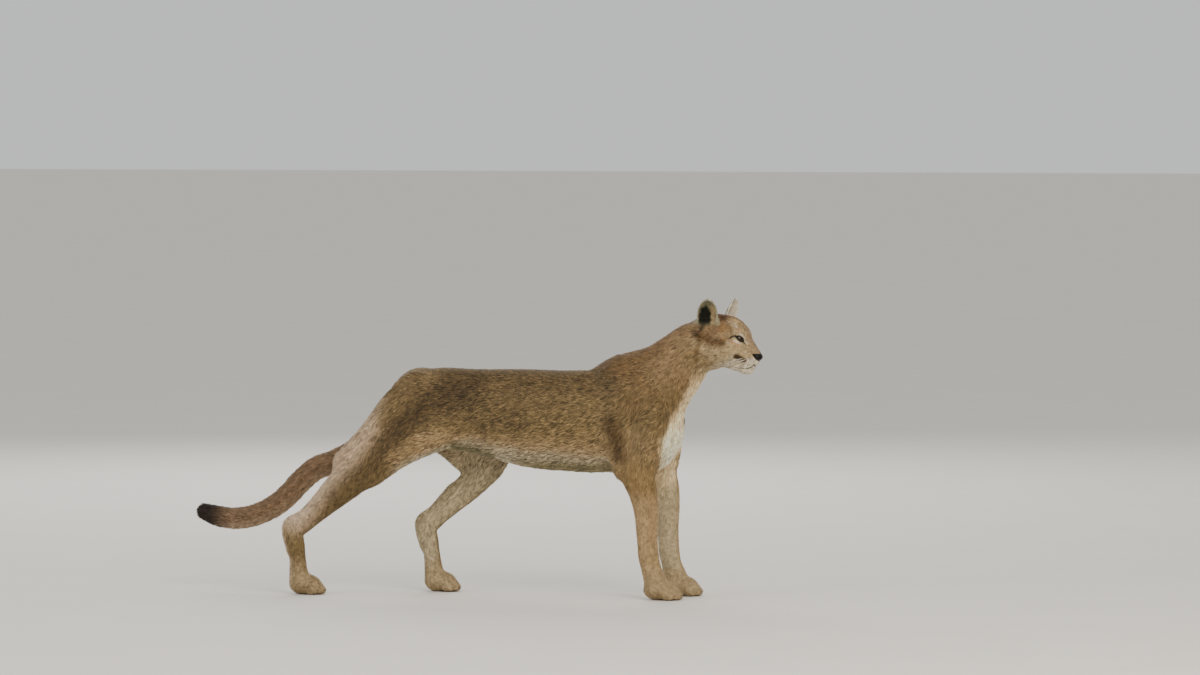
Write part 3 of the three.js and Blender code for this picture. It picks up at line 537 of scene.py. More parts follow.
for at, lie, length in (
    ((-14, 0, 10), (-0.8, 0, 0.6), 2.2), ((-40, 0, 36), (-0.75, 0, 0.65), 3),
    ((-72, 0, 86), (-0.9, 0, 0.4), 4.5), ((-125, 0, 114), (-1, 0, 0), 6.5),
    ((-180, 0, 85), (-0.85, 0, -0.5), 10), ((-24, 20, -4), (-0.95, 0.3, -0.05), 2.4),
    ((-18, 6, -14), (-0.7, 0.6, -0.3), 2.4), ((-45, 33, -8), (-0.95, 0.25, -0.1), 3),
    ((-45, 22, 28), (-0.9, 0.3, 0.2), 3), ((-66, 44, 26), (-0.95, 0.25, -0.15), 4.2),
    ((-100, 66, 18), (-0.9, 0.15, -0.4), 8), ((-80, 42, -22), (-0.92, 0.15, -0.3), 6),
    ((-112, 56, -18), (-0.85, 0, -0.5), 10), ((-40, 0, -42), (-0.95, 0, -0.25), 4.5),
    ((-90, 12, -32), (-0.9, 0, -0.4), 8), ((-145, 20, -28), (-0.75, 0, -0.65), 13),
    ((-105, 55, 62), (-0.97, 0.1, -0.05), 5), ((-62, 26, 84), (-0.75, 0.3, 0.6), 4),
    ((-84, 48, 50), (-0.97, 0.2, -0.05), 3.6), ((-165, 64, 45), (-0.9, 0.05, -0.4), 10),
    ((-48, 42, 66), (-0.8, 0.5, 0.35), 3),
):
    headGuide(np.array(at, float), np.array(lie, float), length)
for ear in ears.values():
    up, ahead, across = earAxes(ear)
    root = np.array(ear["root"], float) * (1, ear["side"], 1)
    for height, back in ((0.2, 14), (0.55, 10), (0.9, 3), (0.4, 0)):
        at = root + up * height * ear["tall"] - ahead * back
        guide("ear", fromHead(at), headAxes @ up, 4.5)
guideRows = np.array(coatGuides, np.float32)
guideRegion = guideRows[:, 7].astype(int)


def coatAt(points):
    # the lie, the length and the share of each region at these points
    lie = np.empty((len(points), 3), np.float32)
    length = np.empty(len(points), np.float32)
    shares = np.zeros((len(points), len(regions)), np.float32)
    chunk, closest, fall = 60000, 60, 2.2   # closest, in square mm, keeps a near guide from ruling
    for start in range(0, len(points), chunk):
        part = slice(start, start + chunk)
        here = np.asarray(points[part], np.float32)
        square = (here**2).sum(1)[:, None] + (guideRows[:, :3]**2).sum(1)
        square -= 2 * here @ guideRows[:, :3].T
        weight = 1 / (np.maximum(square, 0) + closest) ** fall
        weight /= weight.sum(1, keepdims=True)
        lie[part] = weight @ guideRows[:, 3:6]
        length[part] = weight @ guideRows[:, 6]
        for n in range(len(regions)):
            shares[part, n] = weight[:, guideRegion == n].sum(1)
    return lie, length, shares


coat = {
    "insetShare": 0.2,      # depth of the coat over its hair length
    "underfurShade": 0.92,  # the underfur is darker than the tips above it
    "streakLong": 6,        # length and width of the underfur's streaks, mm
    "streakWide": 1.1,
    "cell": 4.2,
    "densityShare": 1.0,
}
soleHeight = 0.4


def skinDistance(points):
    # negative inside the skin, which lies under the solids' face by the coat's depth
    length = coatAt(points)[1]
    off = bodyDistance(points) + coat["insetShare"] * length
    return smoothMax(off, soleHeight - points[:, 2], 2)


def skinMesh():
    cell, block = coat["cell"], 5
    low, high = np.array([-990.0, -150.0, -12.0]), np.array([645.0, 150.0, 830.0])
    blocks = np.ceil((high - low) / (cell * block)).astype(int)
    axes = [low[i] + cell * np.arange(blocks[i] * block + 1) for i in range(3)]
    coarse = np.stack(np.meshgrid(*[a[::block] for a in axes], indexing="ij"), -1)
    rough = skinDistance(coarse.reshape(-1, 3)).reshape(coarse.shape[:3])
    values = rough
    near = np.zeros(blocks, bool)
    for i in (0, 1):
        for j in (0, 1):
            for k in (0, 1):
                corner = rough[i:blocks[0] + i, j:blocks[1] + j, k:blocks[2] + k]
                near |= np.abs(corner) < cell * block * 1.2
    for axis in range(3):
        values = np.repeat(values, block, axis)
        near = np.repeat(near, block, axis)
    values = values[:len(axes[0]), :len(axes[1]), :len(axes[2])].copy()
    near = np.pad(near, [(0, 1)] * 3, mode="edge")
    spots = np.argwhere(near)
    points = low + spots * cell
    values[tuple(spots.T)] = skinDistance(points)
    for axis in range(3):
        edge = [slice(None)] * 3
        for end in (0, -1):
            edge[axis] = end
            values[tuple(edge)] = cell
    grid = openvdb.FloatGrid(farAway)
    grid.copyFromArray(values.astype(np.float32))
    points, quads = grid.convertToQuads(isovalue=0.0)
    return low + points.astype(float) * cell, quads


def settled(points, rounds=2, most=1.5):
    # moves points on to the skin along the field's slope
    probe = 0.4
    points = np.array(points, float)
    for _ in range(rounds):
        off = skinDistance(points)
        slope = np.stack([skinDistance(points + probe * np.eye(3)[i]) - off
                          for i in range(3)], 1) / probe
        steep = np.maximum((slope**2).sum(1), 0.25)
        points -= np.clip((off / steep)[:, None] * slope, -most, most)
    return points


def vertexArray(mesh, kind="co"):
    found = np.empty(len(mesh.vertices) * 3, np.float32)
    mesh.vertices.foreach_get(kind, found)
    return found.reshape(-1, 3).astype(float)


def setVertices(mesh, points):
    mesh.vertices.foreach_set("co", np.asarray(points, np.float32).ravel())
    mesh.update()


def refine(mesh, chosen):
    # splits the chosen faces in four and settles what is new
    centres = np.empty(len(mesh.polygons) * 3, np.float32)
    mesh.polygons.foreach_get("center", centres)
    picked = np.flatnonzero(chosen(centres.reshape(-1, 3).astype(float)))
    work = bmesh.new()
    work.from_mesh(mesh)
    work.faces.ensure_lookup_table()
    edges = {edge for i in picked for edge in work.faces[i].edges}
    before = len(work.verts)
    bmesh.ops.subdivide_edges(work, edges=list(edges), cuts=1, use_grid_fill=True)
    work.to_mesh(mesh)
    work.free()
    points = vertexArray(mesh)
    moved = np.flatnonzero(chosen(points) | (np.arange(len(points)) >= before))
    points[moved] = settled(points[moved], 2, 1.0)
    setVertices(mesh, points)


def eyeAxes(side):
    out = math.radians(eye["gazeOut"])
    ahead = np.array([math.cos(out), side * math.sin(out), 0.0])
    outward = np.array([-math.sin(out), side * math.cos(out), 0.0])
    middle = np.array(eye["middle"], float) * (1, side, 1)
    return middle, ahead, outward


def eyePlace(points, side):
    # forward, towards the outer corner and up, turned by the tilt of the lids
    middle, ahead, outward = eyeAxes(side)
    off = toHead(points) - middle
    forward, across, rise = off @ ahead, off @ outward, off[:, 2]
    tilt = math.radians(eye["tilt"])
    along = across * math.cos(tilt) + rise * math.sin(tilt)
    height = rise * math.cos(tilt) - across * math.sin(tilt)
    return forward, along, height


def lidGap(along, height):
    # below zero between the lids, and about the distance from their edge outside
    share = np.clip(1 - (along / eye["halfLength"]) ** 2, 0, 1) ** 0.75
    beyond = np.maximum(np.abs(along) - eye["halfLength"], 0)
    off = np.maximum(height - eye["upper"] * share, -eye["lower"] * share - height)
    return np.where(beyond > 0, np.hypot(beyond, height), off)


mouthLine = [(-26, 0, -20), (-28.5, 9, -22.5), (-35, 20, -25.5), (-47, 29, -26.5),
             (-60, 36, -25.5), (-73, 42, -22.5)]


def lineDistance(points, line):
    nearest = np.full(len(points), farAway)
    for a, b in zip(line[:-1], line[1:]):
        a, b = np.array(a, float), np.array(b, float)
        share = np.clip((points - a) @ (b - a) / ((b - a) @ (b - a)), 0, 1)
        away = points - a - share[:, None] * (b - a)
        nearest = np.minimum(nearest, np.linalg.norm(away, axis=1))
    return nearest


def mouthDistance(places):
    # to the line of the mouth, alike on both sides, for places measured from the nose tip
    return lineDistance(np.abs(places * (0, 1, 0)) + places * (1, 0, 1), mouthLine)


def nostrilShare(places):
    # 1 in the middle of a nostril, 0 at its edge: a comma that runs out and up
    off = np.abs(places * (0, 1, 0)) + places * (1, 0, 1) - np.array([-5.0, 9.0, 0.5])
    along = off[:, 1] * 0.86 + off[:, 2] * 0.5
    rise = off[:, 2] * 0.86 - off[:, 1] * 0.5
    return np.clip(1 - (along / 4.8) ** 2 - (rise / 2.4) ** 2 - (off[:, 0] / 9) ** 2, 0, 1)


def noseShare(places):
    # above 0 on the bare leather of the nose: wide wings at the top, narrow at the lip
    u, v, w = places.T
    drop = 8 - w
    top = 10.5 - w
    rear = u + 22 - 0.7 * drop
    side = 20 - 0.02 * drop**2 - np.abs(v)
    return smoothMin(smoothMin(top, rear, 4), side, 4) / 8


def dents(points):
    # how far the skin is drawn in: mouth, nostrils and the groove under the nose
    places = toHead(points)
    depth = 2.4 * np.exp(-(mouthDistance(places) / 1.5) ** 2)
    depth += 4.2 * nostrilShare(places) ** 0.6
    groove = lineDistance(places, [(-8, 0, -5), (-14, 0, -12), (-25, 0, -19)])
    return depth + 1.1 * np.exp(-(groove / 1.1) ** 2)


def makeSkin():
    points, quads = skinMesh()
    points = settled(points, 2)
    mesh = bpy.data.meshes.new("skin")
    mesh.from_pydata(points, [], quads.tolist())
    print("skin:", len(points), "points at", coat["cell"], "mm")

    def onHeadOrPaw(at):
        places = toHead(at)
        head = (places[:, 0] > -185) & (places[:, 2] > -60) & (np.abs(places[:, 1]) < 110)
        return head | (at[:, 2] < 62)

    def onFace(at):
        places = toHead(at)
        inEar = np.zeros(len(at), bool)
        for ear in ears.values():
            height, across, behind = earPlace(at, ear)
            inEar |= (height > -0.1) & (height < 1.2) & (np.abs(across) < 32) & (behind > -6)
            inEar &= behind < 30
        face = (places[:, 0] > -92) & (np.abs(places[:, 1]) < 60)
        return (face & (places[:, 2] > -50) & (places[:, 2] < 90)) | inEar

    def onFeatures(at):
        places = toHead(at)
        chosen = (mouthDistance(places) < 5) | (places[:, 0] > -20)
        for side in (rightSide, leftSide):
            forward, along, height = eyePlace(at, side)
            chosen |= (np.abs(along) < 19) & (np.abs(height) < 13) & (forward > 3)
        return chosen & (places[:, 0] > -90)

    refine(mesh, onHeadOrPaw)
    refine(mesh, onFace)
    refine(mesh, onFeatures)
    points, normals = vertexArray(mesh), vertexArray(mesh, "normal")
    points -= normals * dents(points)[:, None]
    for side in (rightSide, leftSide):
        # between the lids the skin goes in behind the eyeball
        ahead = eyeAxes(side)[1]
        forward, along, height = eyePlace(points, side)
        gap = lidGap(along, height)
        inside = (gap < 0.5) & (forward > 2) & (np.hypot(along, height) < 20)
        depth = eye["radius"] - 1.6
        target = np.sqrt(np.maximum(depth**2 - along**2 - height**2, 1))
        share = ramp(-gap, -0.5, 0.3)
        move = np.where(inside & (target < forward), (target - forward) * share, 0)
        points += move[:, None] * (headAxes @ ahead)
    for ear in ears.values():
        ahead = earAxes(ear)[1]
        height, across, behind = earPlace(points, ear)
        facing = normals @ (headAxes @ ahead)
        above = np.maximum(0, (height - earForm["widestAt"]) / (1 - earForm["widestAt"]))
        form = np.sqrt(np.clip(1 - above**2, 0, 1))
        inset = coat["insetShare"] * 4.5
        half = (earForm["halfWidth"] - inset) * form - earForm["wall"]
        deep = (earDepth(height) - inset) * form - earForm["wall"]
        bowl = np.maximum(deep, 0) * np.sqrt(np.clip(1 - (across / np.maximum(half, 1)) ** 2, 0, 1))
        front = (facing > 0.3) & (behind < 6) & (height > 0.02) & (height < 1.1)
        front &= np.abs(across) < half
        low = ramp(height, 0.02, 0.2)
        move = np.where(front, np.maximum(0, bowl * low - np.maximum(behind - 1, 0)), 0)
        points -= move[:, None] * (headAxes @ ahead)
    setVertices(mesh, points)
    return mesh


# Colours of the coat, sRGB, from the back down to the belly and out to the ends
tones = {
    "back": "#6c593b", "croup": "#7f6a48", "flank": "#7a6643", "lowFlank": "#987f5a",
    "belly": "#ada084", "bellyPaintedShade": "#756b48", "groinShadow": "#5c5736", "haunchDarkAndShade": "#53432b",
    "rear": "#ccb293", "shoulder": "#76603f", "shoulderLow": "#87714e", "neck": "#8b7250",
    "nape": "#775a38", "throat": "#fadcae", "chest": "#fff0ca", "foreleg": "#92784f",
    "forearm": "#ae9269", "innerLeg": "#b8a886", "elbowShadow": "#4c3a22", "tail": "#7b6248",
    "tailTip": "#2a2018", "paw": "#ad9670", "crown": "#7f5f3a", "crownDark": "#55371f",
    "forehead": "#c2a574", "cheek": "#ab956f", "cheekBack": "#846a4b", "cheekStripeAndCreaseShade": "#573f22",
    "jaw": "#87714a", "jawPale": "#9c9064", "brow": "#b8926c", "muzzle": "#cbbea8",
    "bridge": "#927a5d", "whiskerPatch": "#493621", "underPatch": "#7d6646", "eyeLine": "#15110c",
    "eyePale": "#dccbae", "earBack": "#5b5140", "earRim": "#b0ab8e", "earIn": "#77735a",
    "earFront": "#a8946e", "earDarkAndCupShade": "#171a10", "farEar": "#fcead2", "sole": "#3a302a",
    "leather": "#14100c",
}


def linear(hexColour):
    channels = np.array([int(hexColour[i:i + 2], 16) for i in (1, 3, 5)]) / 255
    return np.where(channels <= 0.04045, channels / 12.92, ((channels + 0.055) / 1.055) ** 2.4)


def softNoise(points, size, seed):
    # smooth random values from -1 to 1, with features of about this size
    at = np.asarray(points, float) / size + seed * 17.3
    cell = np.floor(at).astype(np.int64)
    t = at - cell
    t = t * t * (3 - 2 * t)
    total = np.zeros(len(at))
    for i in (0, 1):
        for j in (0, 1):
            for k in (0, 1):
                x, y, z = (cell + (i, j, k)).T
                mixed = (x * 73856093 ^ y * 19349663 ^ z * 83492791) & 0x7FFFFFFF
                mixed = (mixed * 1103515245 + 12345) & 0x7FFFFFFF
                value = (mixed >> 8) % 4096 / 2047.5 - 1
                share = np.abs(1 - i - t[:, 0]) * np.abs(1 - j - t[:, 1]) * np.abs(1 - k - t[:, 2])
                total += value * share
    return total


def bump(value, middle, reach):
    return np.exp(-(((value - middle) / reach) ** 2))


# Marks on both sides of the head: tone, share, a line of places measured from the nose tip,
# and the distances from it within which the mark is full and at which it ends
cheekMarks = [
    ("cheekStripeAndCreaseShade", 0.9, [(-146, 69, 58), (-118, 68, 44), (-90, 68, 42)], 2, 22),
    ("jaw", 0.5, [(-172, 64, 10), (-140, 58, -16), (-120, 52, -24)], 10, 30),
    # painted shade: a dark line down behind the cheek, in the crease where the cheek meets the neck
    ("cheekStripeAndCreaseShade", 0.6, [(-150, 68, 72), (-153, 72, 34), (-160, 68, -6)], 1, 14),
    ("crown", 0.6, [(-78, 62, 56), (-90, 66, 50)], 3, 13),
]
muzzleMarks = [
    ("underPatch", 0.8, [(-36, 35, -8), (-42, 36, -17), (-46, 35, -26)], 3, 10),
    ("whiskerPatch", 1, [(-54, 52, 4), (-44, 43, -3), (-38, 38, -7)], 4, 12),
    ("muzzle", 0.25, [(-48, 46, -3), (-36, 38, -8)], 0.3, 2.2),
    ("brow", 0.6, [(-56, 40, 75), (-50, 31, 72)], 4, 11),
    ("crownDark", 0.6, [(-74, 43, 88), (-70, 49, 72), (-68, 52, 64)], 1.5, 5),
    ("brow", 0.7, [(-64, 55, 44), (-50, 48, 38)], 4, 12),
    ("eyePale", 0.8, [(-60, 51, 46), (-48, 42, 40)], 1.5, 5),
]
eyeMarks = [
    ("eyePale", 0.85, [(-47, 37, 64), (-40, 28, 50), (-34, 21, 38)], 2, 5.5),
    ("eyeLine", 0.9, [(-44, 33, 45), (-40, 27, 38), (-37, 24, 33)], 1.4, 3.6),
    ("eyeLine", 0.9, [(-58, 46, 60), (-66, 53, 57), (-73, 58, 50)], 1.2, 4),
]
earMarks = [
    ("earDarkAndCupShade", 0.85, [(-146, 60, 94), (-148, 64, 80)], 5, 14),
    ("earDarkAndCupShade", 0.6, [(-168, 62, 88), (-170, 65, 74), (-160, 68, 62)], 3, 10),
]


def stroke(points, line, inner, outer):
    # 1 within the inner distance of a line drawn on the side of the body in x and z
    line = [(x, 0, z) for x, z in line]
    return ramp(-lineDistance(points * (1, 0, 1), line), -outer, -inner)


def coatColour(points, normals, shares):
    x, y, z = points.T
    nx, ny, nz = normals.T
    places = toHead(points)
    u, v, w = places.T
    beside = np.abs(v)
    trunk, neck, fore, hind, tail, head, ear = shares.T
    outward = ny * np.sign(y)
    outside = ramp(outward, 0.0, 0.5)
    colour = np.tile(linear(tones["flank"]), (len(points), 1))

    def paint(tone, share):
        colour[:] += (linear(tones[tone]) - colour) * np.clip(share, 0, 1)[:, None]

    wander = softNoise(points, 38, 1)
    ripple = softNoise(points, 16, 3)
    level = z + 12 * wander + 5 * ripple
    body = trunk + hind
    paint("back", ramp(level, 505, 585) * body)
    paint("croup", body * ramp(-x, 225, 310) * ramp(level, 545, 590))
    paint("lowFlank", ramp(-level, -455, -405) * trunk)
    paint("shoulder", (fore + neck * 0.6) * ramp(level, 460, 520))
    paint("shoulderLow", fore * ramp(-level, -500, -440))
    # a dark band runs from the loin down the middle of the thigh, partly the coat's darker brown
    # and partly painted shade; a pale rim edges it behind, partly pale fur and partly painted light
    band = [(-170, 560), (-230, 548), (-315, 500), (-400, 415), (-470, 345), (-540, 290)]
    onRight, onLeft = ramp(-y, -5, 15), ramp(y, 5, 25)
    dark = (0.95 - 0.4 * ramp(-x, 370, 470)) * stroke(points, band, 8, 66) * onRight
    band = [(-190, 560), (-250, 530), (-270, 460), (-240, 400), (-200, 350)]
    dark += 0.6 * stroke(points, band, 4, 70) * onLeft
    paint("haunchDarkAndShade", dark * body * outside)
    rim = [(-425, 540), (-475, 470), (-525, 402), (-595, 325), (-655, 230)]
    paint("rear", 0.95 * stroke(points, rim, 20, 88) * hind * ramp(-x, 375, 445) * onRight)
    rim = [(-430, 530), (-405, 450), (-360, 385), (-330, 320)]
    paint("rear", 0.8 * stroke(points, rim, 10, 70) * hind * onLeft)
    # painted light, with pale fur: the backs of the hind legs, where they face back, are painted
    # pale
    paint("rear", hind * ramp(-nx - 0.25 * np.abs(ny), 0.1, 0.8) * ramp(-z, -540, -440))
    paint("lowFlank", 0.7 * stroke(points, [(-300, 425), (-228, 432), (-150, 425)], 6, 26) * body)
    paint("foreleg", fore * ramp(-level, -400, -340))
    paint("forearm", fore * ramp(-level, -310, -250))
    paint("neck", neck * ramp(level, 530, 620))
    paint("nape", (neck + 0.6 * trunk * ramp(x, 120, 260)) * ramp(nz, 0.2, 0.85))
    # painted shadow: a dark band behind the elbow, in the hollow between the foreleg and the ribs
    crease = [(224, 486), (238, 440), (248, 396)]
    elbowShadowShare = stroke(points, crease, 4, 38) * outside * ramp(-z, -530, -480)
    paint("elbowShadow", (0.85 - 0.4 * onLeft) * elbowShadowShare)
    paint("haunchDarkAndShade", 0.4 * stroke(points, [(-50, 488), (-140, 496), (-220, 520)], 10, 75) * outside)
    # the pale underside, from the lower flank to the groin and the inside of the legs; its tone is
    # dimmed as painted shade, and darker still where it faces down
    lower = ramp(-level, -412, -378) * trunk * ramp(x, -300, -190) * ramp(-x, -190, 60)
    paint("belly", 0.9 * lower)
    under = ramp(-nz, 0.3, 0.85) * trunk
    paint("belly", under)
    # painted shade: the underside darkens where it faces the floor
    paint("bellyPaintedShade", 0.9 * under * ramp(-nz, 0.62, 0.9) * ramp(x, -80, 20))
    paint("innerLeg", 0.9 * (fore + hind) * ramp(-outward, 0.1, 0.6))
    # painted shadow in the fold between the flank and the thigh
    fold = stroke(points, [(-212, 402), (-170, 392), (-120, 378)], 5, 30)
    paint("groinShadow", 0.85 * fold * ramp(-nz + 0.5 * outward, 0.0, 0.5))
    paint("paw", (fore + hind) * ramp(-level, -120, -45) * 0.8)
    # throat and chest: a narrow pale strip that widens into one broad patch between the shoulders
    front = [(452, -6, 590), (424, 0, 545), (400, 0, 500), (384, 0, 450), (366, 0, 400),
             (350, 0, 345)]
    reach = 20 + 30 * bump(z, 435, 55)
    off = lineDistance(points * (1, 0.55, 1), front) - reach + 4 * ripple
    ahead = ramp(nx - 0.3 * nz, -0.2, 0.3)
    paint("throat", 0.9 * ramp(-off, -22, 6) * ahead * ramp(-z, -640, -560))
    paint("chest", ramp(-off, -14, 8) * ahead * ramp(-level, -505, -432) * ramp(level, 350, 395))
    paint("throat", (neck + head * ramp(-u, 95, 130)) * ramp(-nz, 0.35, 0.8) * ramp(x, 380, 420))
    innerFore = fore * ramp(-outward, 0.0, 0.5) * ramp(z, 285, 330)
    paint("throat", 0.8 * innerFore * ramp(nx, -0.5, 0.2))
    paint("tail", tail)
    paint("rear", 0.4 * tail * ramp(-nz, 0.1, 0.8))
    paint("tailTip", tail * ramp(-x, 850, 925))
    # the head
    paint("cheek", head)
    paint("crown", head * ramp(w + 6 * wander, 50, 78) * ramp(-u - 4 * ripple, 48, 94))
    paint("cheekBack", head * ramp(-u, 92, 112) * ramp(w, 46, 60))
    paint("forehead", head * ramp(w, 76, 90) * bump(u, -58, 22) * bump(beside, 20, 18))
    between = ramp(-u, 84, 98) * ramp(u, -165, -140)
    paint("crownDark", 0.9 * (head + ear) * ramp(w + 2 * ripple, 92, 101) * between)
    midline = bump(v + 1.5 * ripple, 0, 5) * ramp(-u, 42, 58) * ramp(w, 60, 80)
    paint("crownDark", 0.7 * head * midline)
    paint("bridge", head * ramp(w + 0.55 * u, -12, 4) * bump(beside, 0, 22) * ramp(u, -78, -50))

    def paintMarks(marks):
        for tone, share, line, inner, outer in marks:
            off = lineDistance(np.stack([u, beside, w], 1), line)
            paint(tone, share * (head + neck + ear) * ramp(-off - 0.8 * ripple, -outer, -inner))

    paintMarks(cheekMarks)
    pale = ramp(-w + 0.12 * u, -10, 6) * ramp(u, -112, -66)
    paint("jawPale", head * pale)
    paint("muzzle", head * ramp(-w + 0.1 * u, -6, 4) * ramp(u, -52, -36))
    paint("muzzle", 0.6 * head * ramp(-nz, 0.3, 0.9) * ramp(u, -130, -70))
    paint("chest", 0.5 * head * ramp(-nz, 0.1, 0.7) * ramp(u, -80, -50))
    paintMarks(muzzleMarks)
    for side in (rightSide, leftSide):
        forward, along, height = eyePlace(points, side)
        gap = lidGap(along, height)
        near = ramp(forward, 2, 6) * head
        paint("eyePale", 0.2 * near * bump(gap, 4.5, 2.5))
        paint("eyeLine", near * ramp(-gap, -4.4, -2.2))
    paintMarks(eyeMarks)
    paint("leather", head * ramp(noseShare(places), -0.1, 0.04))
    paint("eyeLine", head * ramp(-mouthDistance(places), -1.6, -0.7))
    # ears: dark behind, a pale rim, mottled grey inside, and painted shade, near black, at the
    # bottom of the cup
    for name, item in ears.items():
        height, across, behind = earPlace(points, item)
        facing = normals @ (headAxes @ earAxes(item)[1])
        here = ear * ramp(height, -0.1, 0.08) * ramp(-np.abs(across), -37, -31)
        above = np.clip((height - earForm["widestAt"]) / (1 - earForm["widestAt"]), 0, 1)
        edge = np.hypot(across / earForm["halfWidth"], above)
        inner = here * ramp(facing, -0.1, 0.3)
        mottle = 0.26 * softNoise(points, 5, 8)
        paint("earBack", here * ramp(-facing, -0.2, 0.4) * ramp(height, 0.05, 0.2))
        paint("earIn", inner)
        paint("earFront", inner * ramp(item["side"] * -across, 5, 13) * ramp(-height, -0.8, -0.6))
        # painted shade: the bottom of the cup is darkened to near black
        cupShadeOval = np.hypot((across * -item["side"] + 6) / 18, (height - 0.2) / 0.52)
        paint("earDarkAndCupShade", inner * ramp(-cupShadeOval + mottle, -1.08, -0.8))
        paint("earRim", here * ramp(edge, 0.78, 0.92) * ramp(facing, -0.75, -0.35))
        if name == "left":
            pale = (0.4 + 0.6 * ramp(-ny, 0.0, 0.5)) * ramp(height, 0.05, 0.25)
            paint("farEar", 0.9 * here * pale * ramp(facing, -0.75, -0.35))
        low = bump(height, -0.08, 0.14) * ramp(-facing, -0.5, 0.5) * bump(across, 0, 26)
        paint("earBack", 0.7 * (head + ear) * low * ramp(behind, -6, 10))
    paintMarks(earMarks)
    paint("sole", ramp(-z, -5, -2) * (fore + hind))
    grain = 1 + (0.12 + 0.1 * head) * softNoise(points, 6, 2) + 0.06 * wander
    return np.clip(colour * grain[:, None], 0.002, 0.95)


# Materials
def node(tree, kind, settings=None, links=None):
    # adds a node, sets its properties or sockets and joins its inputs to other sockets
    made = tree.nodes.new(kind)
    for key, value in (settings or {}).items():
        if key in made.inputs:
            made.inputs[key].default_value = value
        else:
            setattr(made, key, value)
    for key, socket in (links or {}).items():
        tree.links.new(socket, made.inputs[key])
    return made


def newMaterial(name, settings):
    material = bpy.data.materials.new(name)
    material.use_nodes = True
    surface = material.node_tree.nodes["Principled BSDF"]
    for key, value in settings.items():
        surface.inputs[key].default_value = value
    return material, material.node_tree, surface


def rgba(hexColour):
    return (*linear(hexColour), 1)


def toneSocket(tree, tone):
    # a hex colour or the name of a colour attribute
    if not tone.startswith("#"):
        return node(tree, "ShaderNodeAttribute", {"attribute_name": tone}).outputs["Color"]
    base = node(tree, "ShaderNodeRGB")
    base.outputs[0].default_value = rgba(tone)
    return base.outputs[0]


def spacePattern(tree, kind, size, settings):
    # a texture that repeats about once in this size, in metres
    place = node(tree, "ShaderNodeTexCoord")
    scaled = node(tree, "ShaderNodeMapping", {"Scale": (1 / size, 1 / size, 1 / size)},
                  {"Vector": place.outputs["Object"]})
    return node(tree, kind, {"Scale": 1.0, **settings}, {"Vector": scaled.outputs["Vector"]})


def shadeBy(tree, surface, tone, pattern, shades, patternMost=1.0):
    # the tone times a pattern that runs from the first to the second shade
    shade = node(tree, "ShaderNodeMapRange",
                 {"From Max": patternMost, "To Min": shades[0], "To Max": shades[1]},
                 {"Value": pattern})
    mixed = node(tree, "ShaderNodeVectorMath", {"operation": "SCALE"},
                 {0: tone, "Scale": shade.outputs["Result"]})
    tree.links.new(mixed.outputs["Vector"], surface.inputs["Base Color"])


def mottledMaterial(name, tone, size, shades, settings, detail=2.0):
    # a tone, a hex colour or a colour attribute, mottled by noise of this size in metres
    material, tree, surface = newMaterial(name, settings)
    noise = spacePattern(tree, "ShaderNodeTexNoise", size, {"Detail": detail})
    shadeBy(tree, surface, toneSocket(tree, tone), noise.outputs["Fac"], shades)
    return material


def coatSkinMaterial():
    # underfur close to the skin: matt, with hair streaks about 1 mm wide along the lie
    material, tree, surface = newMaterial("short underfur", {
        "Roughness": 0.82, "IOR": 1.5, "Sheen Weight": 0.12, "Sheen Roughness": 0.5,
        "Specular IOR Level": 0.25,
    })
    lay = node(tree, "ShaderNodeAttribute", {"attribute_name": "hairPlace"})
    streaks = node(tree, "ShaderNodeTexNoise", {"Scale": 1.0, "Detail": 3.0, "Roughness": 0.6},
                   {"Vector": lay.outputs["Vector"]})
    shadeBy(tree, surface, toneSocket(tree, "coatTone"), streaks.outputs["Fac"], (0.72, 1.22))
    raised = node(tree, "ShaderNodeBump", {"Strength": 0.6, "Distance": 0.0012},
                  {"Height": streaks.outputs["Fac"]})
    tree.links.new(raised.outputs["Normal"], surface.inputs["Normal"])
    return material


def leatherMaterial(name, hexColour, roughness, grain):
    # bare skin of nose, lids and lips: moist, with a pebbled grain given in metres
    material, tree, surface = newMaterial(name, {
        "Roughness": roughness, "IOR": 1.42, "Coat Weight": 0.06, "Coat Roughness": 0.25,
        "Specular IOR Level": 0.25,
    })
    pebbles = spacePattern(tree, "ShaderNodeTexVoronoi", grain, {}).outputs["Distance"]
    shadeBy(tree, surface, toneSocket(tree, hexColour), pebbles, (1.25, 0.75), 0.8)
    raised = node(tree, "ShaderNodeBump", {"Strength": 0.5, "Distance": 0.0004, "invert": True},
                  {"Height": pebbles})
    tree.links.new(raised.outputs["Normal"], surface.inputs["Normal"])
    return material


def storeColours(mesh, name, colours):
    layer = mesh.color_attributes.new(name, "FLOAT_COLOR", "POINT")
    full = np.ones((len(mesh.vertices), 4), np.float32)
    full[:, :3] = colours
    layer.data.foreach_set("color", full.ravel())


def addPiece(mesh, name, material, replaced=()):
    # puts a mesh in millimetres in the scene as a piece that rides on the body
    setVertices(mesh, toMetres(vertexArray(mesh)))
    mesh.materials.append(material)
    mesh.shade_smooth()
    made = bpy.data.objects.new(name, mesh)
    bpy.context.scene.collection.objects.link(made)
    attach(made, "root")
    if replaced:
        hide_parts(*replaced)
    return made


skinMeshData = makeSkin()
skinPoints, skinNormals = vertexArray(skinMeshData), vertexArray(skinMeshData, "normal")
skinLie, skinLength, skinShares = coatAt(skinPoints)
storeColours(skinMeshData, "coatTone", coatColour(skinPoints, skinNormals, skinShares)
             * coat["underfurShade"])
